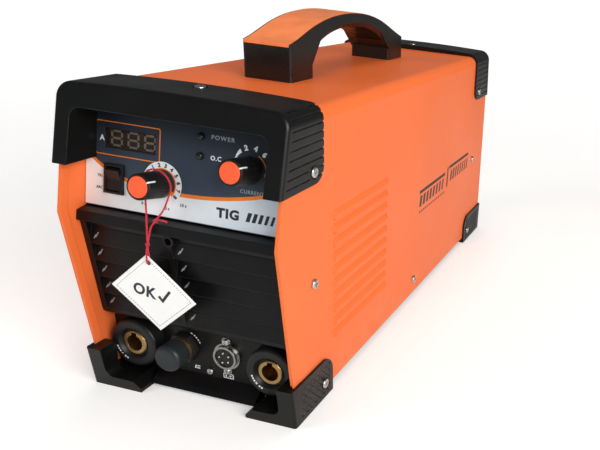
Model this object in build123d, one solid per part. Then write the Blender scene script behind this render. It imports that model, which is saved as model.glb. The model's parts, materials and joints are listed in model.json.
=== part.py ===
"""TIG welding machine: a bench-size inverter power source in a folded steel cover.

Millimetres. +X is to the right seen from the front, +Y runs to the back, +Z is up.
The origin is on the floor, under the middle of the machine.
"""
from build123d import *
import math
import os

os.makedirs("parts", exist_ok=True)

# ---------------------------------------------------------------- driving dimensions
COVER_HALF = 83.0        # half the outside width of the steel cover
COVER_TOP = 228.0
COVER_BOTTOM = 6.0
COVER_R = 9.0            # outside bend radius of the cover
SHEET = 1.2              # cover sheet thickness
NOSE_Y = -238.0          # furthest forward point of the cover's front edge
NOSE_Z = 144.0
REAR_Y = 234.0           # cover's rear edge
UPPER_TILT = 12.0        # lean of the cover's front edge above the nose, degrees
LOWER_TILT = 7.3         # lean back of the front edge below the nose, degrees

PANEL_TILT = 10.0        # lean of the control panel
PANEL_SET_BACK = 22.0    # control panel's foot, behind the nose
PANEL_LENGTH = 81.0
PANEL_T = 3.0
INSIDE_HALF = 81.4       # half width of anything that fits between the cover's walls

SKIN = 2.0               # thickness of the plastic guards outside the cover
GAP = 0.2                # assembly gap between neighbouring parts
GUARD_HALF = COVER_HALF + GAP + SKIN
GUARD_TOP = COVER_TOP + GAP + 3.4
GUARD_CROWN = 1.6        # rise of the guard's top at its middle
GUARD_R = 11.0
GUARD_LOW = 178.0        # underside of the guard's arms
GUARD_DEPTH = 57.0       # from the nose to the guard's back edge
GUARD_TILT = 14.0
RAIL = 12.6              # width of the guards' thick front rails
FOOT_TOP = 33.0
FOOT_DEPTH = 68.0
FOOT_BAR = 9.0           # height of a foot's bottom bar
FOOT_REACH = 41.0        # length of a foot's bottom bar, across the front

FASCIA_TILT = 7.0
FASCIA_SET_BACK = 15.0   # grille base plane at its top, behind the nose
FASCIA_TOP_Z = 137.0
SLAT_ROWS = 5
SLAT_TOP = 9.6           # first slat, below the top of the grille
SLAT_PITCH = 13.9
SLAT_DEEP = 5.0          # depth of the grooves between slats
GRILLE_SPLIT = -11.0     # upright bar between the two columns of slats

SOCKET_X = 57.3          # output sockets, either side of the middle
SOCKET_Z = 33.5
SOCKET_WALL = 35.0       # socket wall, behind the nose
SOCKET_R = 19.6
BRASS_R = 10.0
BORE_R = 6.6             # current bore of an output socket
BORE_LENGTH = 22.0
OUTLET_X = -20.5         # gas outlet
TRIGGER_X = 16.0         # torch trigger connector
TRIGGER_SCREW = 12.5     # its screws, above and below the middle
FASCIA_SCREW_Z = 16.2

KNOB_R = 9.6
KNOB_LENGTH = 20.0
KNOB_GAP = 2.4           # air between knob and panel
LEFT_KNOB = (-20.0, 23.0)     # across, up the panel
RIGHT_KNOB = (46.5, 42.5)
SHAFT_R = 3.0
SHAFT_CLEAR = 0.05
BOARD_OUT = -16.0        # front face of the control board, measured out from the panel
DISPLAY = (-46.3, 49.0)
DISPLAY_W = 40.5
DISPLAY_H = 14.0
LEDS = ((8.5, 46.7), (8.5, 59.9))
SWITCH = (-57.5, 20.8)
SWITCH_W = 15.5
SWITCH_H = 21.0

HANDLE_HALF = 21.0
HANDLE_FRONT = NOSE_Y + 125.0
HANDLE_REAR = NOSE_Y + 346.0
HANDLE_LEG = 35.0        # length of a handle leg on the cover

REAR_PANEL_Y = 222.0     # outside face of the rear panel
FAN_Z = 146.0
FAN_R = 56.0
FAN_FRAME = 120.0
FAN_HOLES = 105.0
FAN_T = 25.0
TRAY_T = 1.5
TRAY_Z = 5.2
DECK_Z = 34.0            # underside of the power board
STANDOFFS = [(x, y) for x in (-62.0, 62.0) for y in (-142.0, 4.0, 152.0)]


# ---------------------------------------------------------------- helpers
def block(x0, x1, y0, y1, z0, z1):
    """A box given by its limits."""
    return Pos((x0 + x1) / 2, (y0 + y1) / 2, (z0 + z1) / 2) * Box(x1 - x0, y1 - y0, z1 - z0)


def rod(x, y, z, radius, y_end):
    """A cylinder along Y from y to y_end."""
    return Pos(x, (y + y_end) / 2, z) * Rot(90, 0, 0) * Cylinder(radius, abs(y_end - y))


def cross_rod(x, y, z, radius, x_end):
    """A cylinder along X from x to x_end."""
    return Pos((x + x_end) / 2, y, z) * Rot(0, 90, 0) * Cylinder(radius, abs(x_end - x))


def post(x, y, z, radius, z_end):
    """A cylinder along Z from z to z_end."""
    return Pos(x, y, (z + z_end) / 2) * Cylinder(radius, abs(z_end - z))


def disc(radius, low, high):
    """A cylinder about the local Z axis, from low to high."""
    return Pos(0, 0, (low + high) / 2) * Cylinder(radius, high - low)


def hexagon(x, y, z, radius, thick):
    """A hexagonal nut on an axis along Y, thick to either side of y."""
    return Pos(x, y, z) * Rot(90, 0, 0) * extrude(RegularPolygon(radius, 6), thick, both=True)


def side_prism(points, x0, x1):
    """A (y, z) outline carried across from x0 to x1."""
    return extrude(Plane.YZ.offset(x0) * Polygon(*points, align=None), x1 - x0, dir=(1, 0, 0))


def arch_prism(half, top, radius, y0, y1, low, crown=0.0):
    """A (x, z) door outline with rounded top corners, carried from y0 to y1."""
    shoulder = top - radius
    lean = radius * (1 - math.sqrt(0.5))
    outline = Polyline((-half, shoulder), (-half, low), (half, low), (half, shoulder))
    outline += ThreePointArc((half, shoulder), (half - lean, top - lean), (half - radius, top))
    if crown:
        outline += ThreePointArc((half - radius, top), (0, top + crown), (radius - half, top))
    else:
        outline += Line((half - radius, top), (radius - half, top))
    outline += ThreePointArc((radius - half, top), (lean - half, top - lean), (-half, shoulder))
    return extrude(Plane.XZ.offset(-y1) * make_face(outline), y1 - y0, dir=(0, -1, 0))


def leaning(y, z, tilt):
    """A plane through (0, y, z) that faces the front and leans back by tilt degrees."""
    lean = math.radians(tilt)
    return Plane(origin=(0, y, z), x_dir=(1, 0, 0), z_dir=(0, -math.cos(lean), math.sin(lean)))


def ahead_of(plane):
    """A big block filling the space in front of a plane."""
    return plane.location * Pos(0, 0, 200) * Box(700, 900, 400)


def on(plane, shape, across=0.0, up=0.0, out=0.0):
    """A shape placed on a plane: across and up along it, out from it."""
    return plane.location * Pos(across, up, out) * shape


def both_sides(shape):
    """A shape and its mirror image across the machine's middle, as separate solids."""
    return Compound(children=[shape, mirror(shape, Plane.YZ)])


def back_to_front(shape):
    """A shape mirrored from the front end to the rear end."""
    return mirror(shape, Plane.XZ)


def pan_screw(radius, height, shank_r, shank):
    """A cross-recessed pan-head screw on the XY plane, head up, shank down."""
    head = Cylinder(radius, height, align=(Align.CENTER, Align.CENTER, Align.MIN))
    head = fillet(head.edges().group_by(Axis.Z)[-1], height * 0.55)
    recess = Box(radius * 1.1, radius * 0.28, height) + Box(radius * 0.28, radius * 1.1, height)
    head -= Pos(0, 0, height) * recess
    return head + Cylinder(shank_r, shank, align=(Align.CENTER, Align.CENTER, Align.MAX))


FRONT = NOSE_Y
UPPER_TAN = math.tan(math.radians(UPPER_TILT))
LOWER_TAN = math.tan(math.radians(LOWER_TILT))
PANEL_TAN = math.tan(math.radians(PANEL_TILT))
RAIL_BACK = 23.6         # back of a foot's rail, behind the nose
REAR_RAIL = 16.0         # the same at the rear end, from the rearmost point

panel = leaning(FRONT + PANEL_SET_BACK, NOSE_Z, PANEL_TILT)
grille = leaning(FRONT + FASCIA_SET_BACK, FASCIA_TOP_Z, -FASCIA_TILT)
guard_face = leaning(FRONT + 2, GUARD_LOW, GUARD_TILT)
rear_guard_face = leaning(FRONT + 2, GUARD_LOW, 5)
rear_seat = leaning(FRONT + REAR_RAIL - GAP, GUARD_LOW, 0)
foot_face = leaning(FRONT + 8.3, FOOT_TOP, -LOWER_TILT)
rear_foot_face = leaning(FRONT + 2, FOOT_TOP, -3)

M4_R = 1.95
M4_HOLE = 2.2
GUARD_SCREW = (FRONT + 43, 187.0)       # along, up
FOOT_SCREW = (FRONT + 55, 13.0)
COVER_SCREWS = ((FRONT + 44, 103.0), (FRONT + 242, 21.0), (FRONT + 428, 104.0))
TOP_SCREW_Y = FRONT + 46
HANDLE_SCREWS = [(x, y) for x in (-11.0, 11.0)
                 for y in (HANDLE_FRONT + HANDLE_LEG / 2, HANDLE_REAR - HANDLE_LEG / 2)]


# ---------------------------------------------------------------- steel cover
LOUVRE_ROWS = 10
LOUVRE_PITCH = 11.0
LOUVRE_START = FRONT + 73
LOUVRE_LENGTH = 98.0
LOUVRE_LOW_Z = 44.0
LOUVRE_OUT = 2.3


def louvre_outline(bottom, outer, lift):
    """The (x, z) section of one pressed louvre on the right wall."""
    wall = COVER_HALF - SHEET
    return [(wall, bottom + lift), (COVER_HALF + outer, bottom + lift),
            (COVER_HALF + outer, bottom + 2.2), (wall + 0.4, bottom + 8.2), (wall, bottom + 8.2)]


def louvre(bottom, outer, trim, lift=0.0):
    """One louvre's outside (or inside, with a trim) as a solid along the right wall."""
    length = LOUVRE_LENGTH - 2 * trim
    start = LOUVRE_START + trim
    outline = Polygon(*louvre_outline(bottom, outer, lift), align=None)
    body = extrude(Plane.XZ.offset(-(start + length)) * outline, length, dir=(0, -1, 0))
    for end, way in ((start, 1), (start + length, -1)):
        slope = Pos(COVER_HALF, end, bottom + 4) * Rot(0, 0, way * 32) * Pos(4 + trim, 0, 0)
        body -= slope * Pos(0, -way * 6, 0) * Box(16, 12, 20)
    return body


def front_edge(back_by):
    """(y, z) outline of the space ahead of the cover's front edge, moved back by back_by."""
    foot_line = FRONT + RAIL_BACK + GAP
    low_y = FRONT + (NOSE_Z - FOOT_TOP) * LOWER_TAN
    top_y = FRONT + (GUARD_LOW - NOSE_Z) * UPPER_TAN
    guard_y = FRONT + PANEL_SET_BACK + (GUARD_LOW - NOSE_Z) * PANEL_TAN
    crest_y = FRONT + PANEL_SET_BACK + (260 - NOSE_Z) * PANEL_TAN
    points = [(FRONT - 20, -5), (foot_line, -5), (foot_line, FOOT_TOP + GAP), (low_y, FOOT_TOP + GAP),
              (FRONT, NOSE_Z), (top_y, GUARD_LOW - GAP), (guard_y, GUARD_LOW - GAP), (crest_y, 260),
              (FRONT - 20, 260)]
    return [(y if y < FRONT else y + back_by, z) for y, z in points]


def build_cover():
    back = REAR_Y
    outer = arch_prism(COVER_HALF, COVER_TOP, COVER_R, FRONT, back, COVER_BOTTOM)
    inner = arch_prism(COVER_HALF - SHEET, COVER_TOP - SHEET, COVER_R - SHEET, FRONT - 1, back + 1,
                       COVER_BOTTOM - 1)
    hem = arch_prism(COVER_HALF - 2 * SHEET, COVER_TOP - 2 * SHEET, COVER_R - 2 * SHEET,
                     FRONT - 1, back + 1, COVER_BOTTOM - 1)
    sheet = (outer - inner) - side_prism(front_edge(0), -200, 200)
    fold = (outer - hem) - side_prism(front_edge(0), -200, 200)
    fold &= side_prism(front_edge(6), -200, 200)
    fold &= block(-200, 200, FRONT - 5, FRONT + 30, FOOT_TOP + 2, GUARD_LOW - 2)
    cover = sheet + fold
    cover -= block(-200, 200, -FRONT - REAR_RAIL, REAR_Y + 5, GUARD_LOW - GAP, 260)
    cover -= block(-200, 200, -FRONT - REAR_RAIL, REAR_Y + 5, -5, FOOT_TOP + GAP)
    for row in range(LOUVRE_ROWS):
        bottom = LOUVRE_LOW_Z + row * LOUVRE_PITCH
        hood = louvre(bottom, LOUVRE_OUT, 0)
        hollow = louvre(bottom, LOUVRE_OUT - 1.0, 1.2, lift=-1.0)
        cover = cover + hood + mirror(hood, Plane.YZ)
        cover = cover - hollow - mirror(hollow, Plane.YZ)
    for along, up in COVER_SCREWS:
        cover -= cross_rod(-100, along, up, M4_HOLE, 100)
    for along in (GUARD_SCREW[0], -GUARD_SCREW[0]):
        cover -= cross_rod(-100, along, GUARD_SCREW[1], M4_HOLE, 100)
    for along in (FOOT_SCREW[0], -FOOT_SCREW[0]):
        cover -= cross_rod(-100, along, FOOT_SCREW[1], M4_HOLE, 100)
    for along in (TOP_SCREW_Y, -TOP_SCREW_Y):
        cover -= post(0, along, COVER_TOP - 5, M4_HOLE, COVER_TOP + 5)
    for across, along in HANDLE_SCREWS:
        cover -= post(across, along, COVER_TOP - 5, 2.7, COVER_TOP + 5)
    return cover


# ---------------------------------------------------------------- plastic guards and feet
GROOVE_PITCH = 6.0
GROOVE_WIDE = 1.5
GROOVE_DEEP = 0.7


def guard_grooves(face, back):
    """Shallow grooves along both of a guard's sides and round its top corners."""
    x, z = GUARD_HALF - GUARD_R, GUARD_TOP - GUARD_R
    middle = (FRONT + back) / 2
    length = back - FRONT + 20
    cutters = []
    for row in range(7):
        height = GUARD_LOW + 5.5 + row * GROOVE_PITCH
        cutters.append(Pos(GUARD_HALF, middle, height) * Box(2 * GROOVE_DEEP, length, GROOVE_WIDE))
    for angle in (30, 60):
        turn = Pos(x, middle, z) * Rot(0, -angle, 0)
        cutters.append(turn * Pos(GUARD_R, 0, 0) * Box(2 * GROOVE_DEEP, length, GROOVE_WIDE))
    limit = ahead_of(face.offset(-5))
    return [cutter - limit for cutter in cutters]


def guard_rounding(back):
    """What the rounded lower rear corner leaves out, right across the machine."""
    corner = block(-100, 100, back - 12, back + 1, GUARD_LOW - 1, GUARD_LOW + 12)
    return corner - cross_rod(-101, back - 12, GUARD_LOW + 12, 12, 101)


def build_guard(face, seat, rail_low):
    """A guard for the front end: thick rails ahead of the seat, a skin over the cover behind it."""
    back = FRONT + GUARD_DEPTH
    body = arch_prism(GUARD_HALF, GUARD_TOP, GUARD_R, FRONT - 6, back, GUARD_LOW, GUARD_CROWN)
    body -= ahead_of(face)
    rim = [e for e in body.edges() if abs(face.to_local_coords(e.center()).Z) < 0.05]
    body = fillet([e for e in rim if e.center().Z > GUARD_LOW + 1], 3.0)
    body -= arch_prism(GUARD_HALF - RAIL, rail_low, 7, FRONT - 40, back + 1, GUARD_LOW - 30)
    room = arch_prism(COVER_HALF + GAP, COVER_TOP + GAP, COVER_R + GAP, FRONT - 40, back + 1,
                      GUARD_LOW - 30)
    body -= room - ahead_of(seat)
    body -= guard_rounding(back)
    for groove in guard_grooves(face, back):
        body = body - groove - mirror(groove, Plane.YZ)
    along, up = GUARD_SCREW
    for side in (-1, 1):
        boss = cross_rod(side * (COVER_HALF + GAP), along, up, 6.4, side * GUARD_HALF)
        body += boss
        body -= cross_rod(side * (GUARD_HALF - 0.8), along, up, 5.0, side * (GUARD_HALF + 3))
    body -= cross_rod(-100, along, up, M4_HOLE, 100)
    body -= post(0, TOP_SCREW_Y, COVER_TOP - 5, M4_HOLE, GUARD_TOP + 5)
    body -= post(0, TOP_SCREW_Y, GUARD_TOP + 0.2, 5.0, GUARD_TOP + 5)
    return body


def knurl(y0, y1, z0, z1):
    """Crossed diagonal grooves for the right wall of a foot."""
    window = block(GUARD_HALF - 0.6, GUARD_HALF + 1, y0, y1, z0, z1)
    cutters = []
    for turn in (45, -45):
        for k in range(-7, 8):
            place = Pos(GUARD_HALF, (y0 + y1) / 2, (z0 + z1) / 2) * Rot(turn, 0, 0) * Pos(0, 0, k * 4.4)
            groove = (place * Box(4, 90, 1.1)) & window
            if groove is not None and groove.volume > 0.3:
                cutters.append(groove)
    return cutters


def build_foot(face, rail_back, bar_back):
    """The front right foot: an L-shaped rail, a skin on the cover's side and a sole plate."""
    back = FRONT + FOOT_DEPTH
    low_x = GUARD_HALF - FOOT_REACH
    inner_x = GUARD_HALF - RAIL
    body = block(low_x, GUARD_HALF, FRONT, rail_back, 0, FOOT_BAR)
    body += block(low_x, COVER_HALF - SHEET - GAP, FRONT, bar_back, 0, FOOT_BAR)
    body += block(inner_x, GUARD_HALF, FRONT, rail_back, 0, FOOT_TOP)
    body += block(inner_x - 7, inner_x, FRONT, rail_back, FOOT_BAR, FOOT_BAR + 7)
    body -= rod(inner_x - 7, FRONT - 1, FOOT_BAR + 7, 7, rail_back + 1)
    slope = Polygon((low_x - 1, 2), (low_x - 1, 12), (low_x + 9, 12), (low_x + 6, FOOT_BAR), align=None)
    body -= extrude(Plane.XZ.offset(-bar_back - 1) * slope, 60, dir=(0, -1, 0))
    body -= ahead_of(face)
    front_rim = [e for e in body.edges() if abs(face.to_local_coords(e.center()).Z) < 0.05]
    outer = [e for e in front_rim if e.center().X > GUARD_HALF - 0.1]
    body = fillet(outer, 2.0)
    body += block(COVER_HALF + GAP, GUARD_HALF, rail_back - 4, back, 0, FOOT_TOP)
    body += block(low_x + 8, GUARD_HALF, rail_back - 4, back, 0, 5)
    corner = block(20, 100, back - 14, back + 1, FOOT_TOP - 14, FOOT_TOP + 1)
    body -= corner - cross_rod(19, back - 14, FOOT_TOP - 14, 14, 101)
    for groove in knurl(rail_back - 3, back - 5, 4, FOOT_TOP - 4):
        body -= groove
    along, up = FOOT_SCREW
    body += cross_rod(COVER_HALF + GAP, along, up, 6.4, GUARD_HALF)
    body -= cross_rod(GUARD_HALF - 0.8, along, up, 5.0, GUARD_HALF + 3)
    body -= cross_rod(60, along, up, M4_HOLE, 100)
    return body


# ---------------------------------------------------------------- tray, fascia and panels
def build_tray():
    """Floor pan with two side walls that the cover screws into."""
    half = COVER_HALF - SHEET - GAP
    front, back = FRONT + 40, REAR_PANEL_Y - 2.0
    tray = block(-half, half, front, back, TRAY_Z, TRAY_Z + TRAY_T)
    for side in (-1, 1):
        wall = block(half - TRAY_T, half, front, back, TRAY_Z, 28)
        tray += wall if side > 0 else mirror(wall, Plane.YZ)
    for row in range(12):
        tray -= block(-45, 45, -75 + row * 12, -70 + row * 12, 0, 10)
    for along, up in (FOOT_SCREW, (-FOOT_SCREW[0], FOOT_SCREW[1]), COVER_SCREWS[1]):
        tray -= cross_rod(-100, along, up, M4_HOLE, 100)
    return tray


def fascia_outline():
    """(y, z) section of the lower fascia."""
    slope = math.tan(math.radians(FASCIA_TILT))
    top_y = FRONT + FASCIA_SET_BACK + SLAT_DEEP
    low_y = top_y + (FASCIA_TOP_Z - 62) * slope
    wall = FRONT + SOCKET_WALL
    ledge = [(FRONT + 24, 143.2), (FRONT + 14, 141.6), (FRONT + 12.5, 134.5), (top_y, 132.5)]
    step = [(low_y, 62), (FRONT + 24.6, 60.6), (FRONT + 25.1, 57), (FRONT + 27, 55)]
    socket_wall = [(wall, 53.6), (wall, 12), (wall - 9, 6), (wall - 12, 2.5), (wall + 3, 2.5)]
    inside = [(wall + 3, 58), (low_y + 2.5, 62), (top_y + 2.5, 133), (FRONT + 17, 136)]
    lip = [(FRONT + 17.5, 138.8), (FRONT + 27, 140.3), (FRONT + 27, 143.2)]
    return ledge + step + socket_wall + inside + lip


def build_fascia():
    """Black front moulding: ledge, two columns of slats, socket wall."""
    half = INSIDE_HALF
    body = side_prism(fascia_outline(), -half, half)
    frame_side = [(-4, -SLAT_DEEP - 1), (-4, 0), (-79, 0), (-79, -SLAT_DEEP - 1)]
    for x0, x1 in ((-half, -77.0), (GRILLE_SPLIT - 1.5, GRILLE_SPLIT + 1.5), (77.0, half)):
        body += grille.location * side_prism(frame_side, x0, x1)
    for row in range(SLAT_ROWS):
        top = -SLAT_TOP - row * SLAT_PITCH
        low = top - SLAT_PITCH + 2.0
        root = -SLAT_DEEP - 1
        slat = [(top, root), (top, -4.2), (low, -0.3), (low - 1.0, -0.8), (low - 1.0, root)]
        body += grille.location * side_prism(slat, -77.5, 77.5)
    body += rod(GRILLE_SPLIT, FRONT + 15.4, 129, 4.2, FRONT + 21)
    foot_x = GUARD_HALF - FOOT_REACH - GAP
    for x0, x1 in ((-half - 1, -foot_x), (foot_x, half + 1)):
        body -= block(x0, x1, FRONT, FRONT + SOCKET_WALL, 0, 11.9)
        body -= block(x0, x1, FRONT, FRONT + SOCKET_WALL + 4, 0, 5.2)
    for side in (-1, 1):
        body += block(*sorted((side * (half - 1.5), side * half)), FRONT + 24, FRONT + 54, 90, 116)
    y0, y1 = FRONT + SOCKET_WALL - 5, FRONT + SOCKET_WALL + 5
    for x in (-SOCKET_X, SOCKET_X):
        body -= rod(x, y0, SOCKET_Z, 14.3, y1)
    body -= rod(OUTLET_X, y0, SOCKET_Z, 8.2, y1)
    body -= rod(TRIGGER_X, y0, SOCKET_Z, 7.8, y1)
    for lift in (-TRIGGER_SCREW, TRIGGER_SCREW):
        body -= rod(TRIGGER_X, y0, SOCKET_Z + lift, 1.6, y1)
    body -= rod(0, y0, FASCIA_SCREW_Z, 1.6, y1)
    body -= rod(GRILLE_SPLIT, FRONT + 10, 129, 2.6, FRONT + 20)
    along, up = COVER_SCREWS[0]
    body -= cross_rod(-100, along, up, M4_HOLE, 100)
    return body


def build_control_panel():
    plate = Pos(0, PANEL_LENGTH / 2, -PANEL_T / 2) * Box(2 * INSIDE_HALF, PANEL_LENGTH, PANEL_T)
    plate = fillet(plate.edges().filter_by(Axis.Z).group_by(Axis.Y)[-1], 10)
    plate -= Pos(DISPLAY[0], DISPLAY[1]) * Box(DISPLAY_W, DISPLAY_H, 20)
    for across, up in LEDS:
        plate -= Pos(across, up) * Cylinder(2.6, 20)
    for across, up in (LEFT_KNOB, RIGHT_KNOB):
        plate -= Pos(across, up) * Cylinder(3.7, 20)
    plate -= Pos(SWITCH[0], SWITCH[1]) * Box(SWITCH_W - 1.2, SWITCH_H - 1.6, 20)
    return panel.location * plate


def build_display_window():
    pane = Box(DISPLAY_W - 0.4, DISPLAY_H - 0.4, 2.0)
    pane = fillet(pane.edges().filter_by(Axis.Z), 0.8)
    return on(panel, pane, DISPLAY[0], DISPLAY[1], -1.2)


def build_display_module():
    """Three-digit LED display: a block on the control board with raised segments."""
    face_out = -3.4
    body = Pos(0, 0, (BOARD_OUT + face_out) / 2) * Box(DISPLAY_W - 1, 15, face_out - BOARD_OUT - 0.2)
    level = face_out + 0.1
    for digit in range(3):
        x = (digit - 1) * 13.2
        bars = [Pos(x, v, level) * Box(6.0, 1.5, 0.4) for v in (-5.0, 0, 5.0)]
        for side in (-3.9, 3.9):
            bars += [Pos(x + side, v, level) * Box(1.5, 3.4, 0.4) for v in (-2.5, 2.5)]
        for bar in bars:
            body += bar
    return panel.location * Pos(DISPLAY[0], DISPLAY[1], 0) * body


def build_leds():
    """Two 5 mm indicator lamps standing on the control board."""
    lamp = disc(2.45, -1.5, 2.5)
    lamp = fillet(lamp.edges().group_by(Axis.Z)[-1], 1.8)
    lamp += disc(2.45, -4.85, -1.4)
    lamp += Pos(0, 0, (BOARD_OUT - 3.2) / 2 - 0.05) * Box(3.0, 0.6, -BOARD_OUT - 3.2 - 0.1)
    return Compound(children=[on(panel, lamp, across, up) for across, up in LEDS])


def build_potentiometers():
    """Two like potentiometers: can, threaded bushing through the panel and its nut."""
    depth = -PANEL_T - 0.2 - BOARD_OUT - 0.2
    can = Pos(0, 0, -PANEL_T - 0.2 - depth / 2) * Cylinder(8.4, depth)
    can += Pos(0, -8, -PANEL_T - 0.2 - depth / 2) * Box(12, 7, depth)
    can += disc(3.5, -PANEL_T - 0.4, 5.0)
    nut = Pos(0, 0, 0.2 + 1.0) * extrude(RegularPolygon(5.0, 6), 1.0, both=True)
    can += nut
    can -= disc(SHAFT_R + SHAFT_CLEAR, BOARD_OUT + 2.4, 40)
    return Compound(children=[on(panel, can, *place) for place in (LEFT_KNOB, RIGHT_KNOB)])


def knob_grip():
    """Fluted knob body on the XY plane of its panel, pointing out."""
    base = KNOB_GAP
    grip = Pos(0, 0, base + KNOB_LENGTH / 2) * Cone(KNOB_R, KNOB_R - 0.7, KNOB_LENGTH)
    grip = fillet(grip.edges().group_by(Axis.Z)[-1], 0.8)
    flute = Pos(KNOB_R + 0.25, 0, 0) * disc(0.75, base + 4, base + 4 + KNOB_LENGTH)
    for k in range(24):
        grip -= Rot(0, 0, k * 15) * flute
    grip -= Pos(0, 0, base) * Cylinder(6.6, 6.0)
    grip -= Pos(0, 0, base + KNOB_LENGTH) * Cylinder(7.4, 3.0)
    return grip


def build_knob(place):
    """One knob: its grip with the shaft, and its cap."""
    cap_low = KNOB_GAP + KNOB_LENGTH - 1.45
    cap = disc(7.3, cap_low, cap_low + 2.0)
    cap = fillet(cap.edges().group_by(Axis.Z)[-1], 0.6)
    grip = knob_grip() + disc(SHAFT_R, BOARD_OUT + 2.6, KNOB_GAP + 14)
    return [on(panel, piece, *place) for piece in (grip, cap)]


def rocker_switch(wide, tall, deep):
    """Body and rocker of a switch on the XY plane, the rocker's upper end standing out."""
    body = Pos(0, 0, 1.0) * Box(wide, tall, 2.0)
    body = fillet(body.edges().group_by(Axis.Z)[-1], 0.5)
    body += Pos(0, 0, -deep / 2) * Box(wide - 1.6, tall - 2.6, deep)
    reach = tall / 2 - 2.0
    body -= Pos(0, 0, 2 - reach) * Box(wide - 4.0, tall - 4.0 + 0.5, 2 * reach)
    pivot = Pos(0, 0, -1.5) * Rot(0, 90, 0)
    body -= pivot * Cylinder(1.3, wide - 2.6)
    throw = 10
    profile = [(-reach, 3.0), (0, 1.2), (reach, 3.0), (reach, 2.4 - reach), (-reach, 2.4 - reach)]
    rocker = side_prism(profile, 2.2 - wide / 2, wide / 2 - 2.2)
    rocker &= pivot * Cylinder(reach - 0.1, wide)
    rocker += pivot * Cylinder(1.25, wide - 3.0)
    turned = Pos(0, 0, -1.5) * Rot(throw, 0, 0) * Pos(0, 0, 1.5) * rocker
    return body, turned


# ---------------------------------------------------------------- connectors on the socket wall
def build_socket(x):
    """Insulating body and brass insert of one output socket."""
    wall = FRONT + SOCKET_WALL
    face = wall - 11.0
    body = rod(x, face, SOCKET_Z, SOCKET_R, wall - 0.05)
    body = fillet(body.edges().group_by(Axis.Y)[0], 2.2)
    body += rod(x, wall - 1, SOCKET_Z, 14.0, wall + 14)
    body += hexagon(x, wall + 5.7, SOCKET_Z, 17.0, 2.5)
    body -= Pos(x, face + 1.5, SOCKET_Z) * Rot(90, 0, 0) * Cone(BRASS_R + 1.0, BRASS_R + 3.0, 3.2)
    body -= rod(x, face - 1, SOCKET_Z, BRASS_R + 0.05, wall + 30)
    insert = rod(x, face + 1.2, SOCKET_Z, BRASS_R, wall + 20)
    insert = chamfer(insert.edges().group_by(Axis.Y)[0], 0.8)
    insert += rod(x, wall + 19, SOCKET_Z, 5.0, wall + 34)
    insert -= rod(x, face, SOCKET_Z, BORE_R, face + 1.2 + BORE_LENGTH)
    insert -= block(x - 2.2, x + 2.2, face, face + 12, SOCKET_Z + BORE_R - 1, SOCKET_Z + BORE_R + 2.0)
    return body, insert


def build_gas_outlet():
    """Brass gas outlet with its clamping nut, and the push-on plastic cap."""
    wall = FRONT + SOCKET_WALL
    fitting = rod(OUTLET_X, wall - 17.5, SOCKET_Z, 7.5, wall + 16)
    fitting = chamfer(fitting.edges().group_by(Axis.Y)[0], 1.0)
    fitting += hexagon(OUTLET_X, wall - 2.5, SOCKET_Z, 12.4, 2.4)
    fitting += rod(OUTLET_X, wall - 8.4, SOCKET_Z, 9.6, wall - 4.0)
    fitting += hexagon(OUTLET_X, wall + 5.6, SOCKET_Z, 12.0, 2.4)
    fitting += rod(OUTLET_X, wall + 15, SOCKET_Z, 4.0, wall + 30)
    fitting -= rod(OUTLET_X, wall - 30, SOCKET_Z, 2.5, wall + 40)
    cap = rod(OUTLET_X, wall - 22, SOCKET_Z, 10.6, wall - 8.8)
    cap = fillet(cap.edges().group_by(Axis.Y)[0], 3.4)
    cap -= rod(OUTLET_X, wall - 17.9, SOCKET_Z, 7.5 + 0.08, wall)
    return fitting, cap


TRIGGER_PINS = [math.radians(30 + 72 * k) for k in range(5)]
PIN_CIRCLE = 4.2


def build_trigger_socket():
    """Round five-pin torch connector: metal shell, insulating insert and pins."""
    wall = FRONT + SOCKET_WALL
    shell = rod(TRIGGER_X, wall - 1.6, SOCKET_Z, 11.0, wall - 0.05)
    for lift in (-TRIGGER_SCREW, TRIGGER_SCREW):
        shell += rod(TRIGGER_X, wall - 1.6, SOCKET_Z + lift, 3.6, wall - 0.05)
    shell += rod(TRIGGER_X, wall - 4.6, SOCKET_Z, 9.6, wall - 1)
    shell += rod(TRIGGER_X, wall - 1, SOCKET_Z, 7.7, wall + 10)
    shell -= rod(TRIGGER_X, wall - 8, SOCKET_Z, 7.9, wall - 2.5)
    shell -= rod(TRIGGER_X, wall - 8, SOCKET_Z, 6.2, wall + 20)
    for lift in (-TRIGGER_SCREW, TRIGGER_SCREW):
        shell -= rod(TRIGGER_X, wall - 10, SOCKET_Z + lift, 1.6, wall + 5)
    insert = rod(TRIGGER_X, wall - 2.4, SOCKET_Z, 6.1, wall + 8)
    insert += rod(TRIGGER_X, wall - 3.6, SOCKET_Z, 7.8, wall - 2.6)
    insert += rod(TRIGGER_X, wall - 3, SOCKET_Z, 6.1, wall - 2)
    pins = []
    for angle in TRIGGER_PINS:
        x = TRIGGER_X + PIN_CIRCLE * math.cos(angle)
        z = SOCKET_Z + PIN_CIRCLE * math.sin(angle)
        insert -= rod(x, wall - 8, z, 0.95, wall + 20)
        pin = rod(x, wall - 5.2, z, 0.9, wall + 12)
        pins.append(fillet(pin.edges().group_by(Axis.Y)[0], 0.5))
    return shell, insert, Compound(children=pins)


def build_small_screws():
    """Identical small screws of the socket wall: two at the trigger socket, one in the middle."""
    wall = FRONT + SOCKET_WALL
    seats = [(TRIGGER_X, wall - 1.65, SOCKET_Z + lift) for lift in (-TRIGGER_SCREW, TRIGGER_SCREW)]
    seats.append((0, wall - 0.05, FASCIA_SCREW_Z))
    screws = []
    for seat in seats:
        place = Plane(origin=seat, x_dir=(1, 0, 0), z_dir=(0, -1, 0))
        screws.append(place.location * pan_screw(2.7, 1.6, 1.4, 8))
    return Compound(children=screws)


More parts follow.
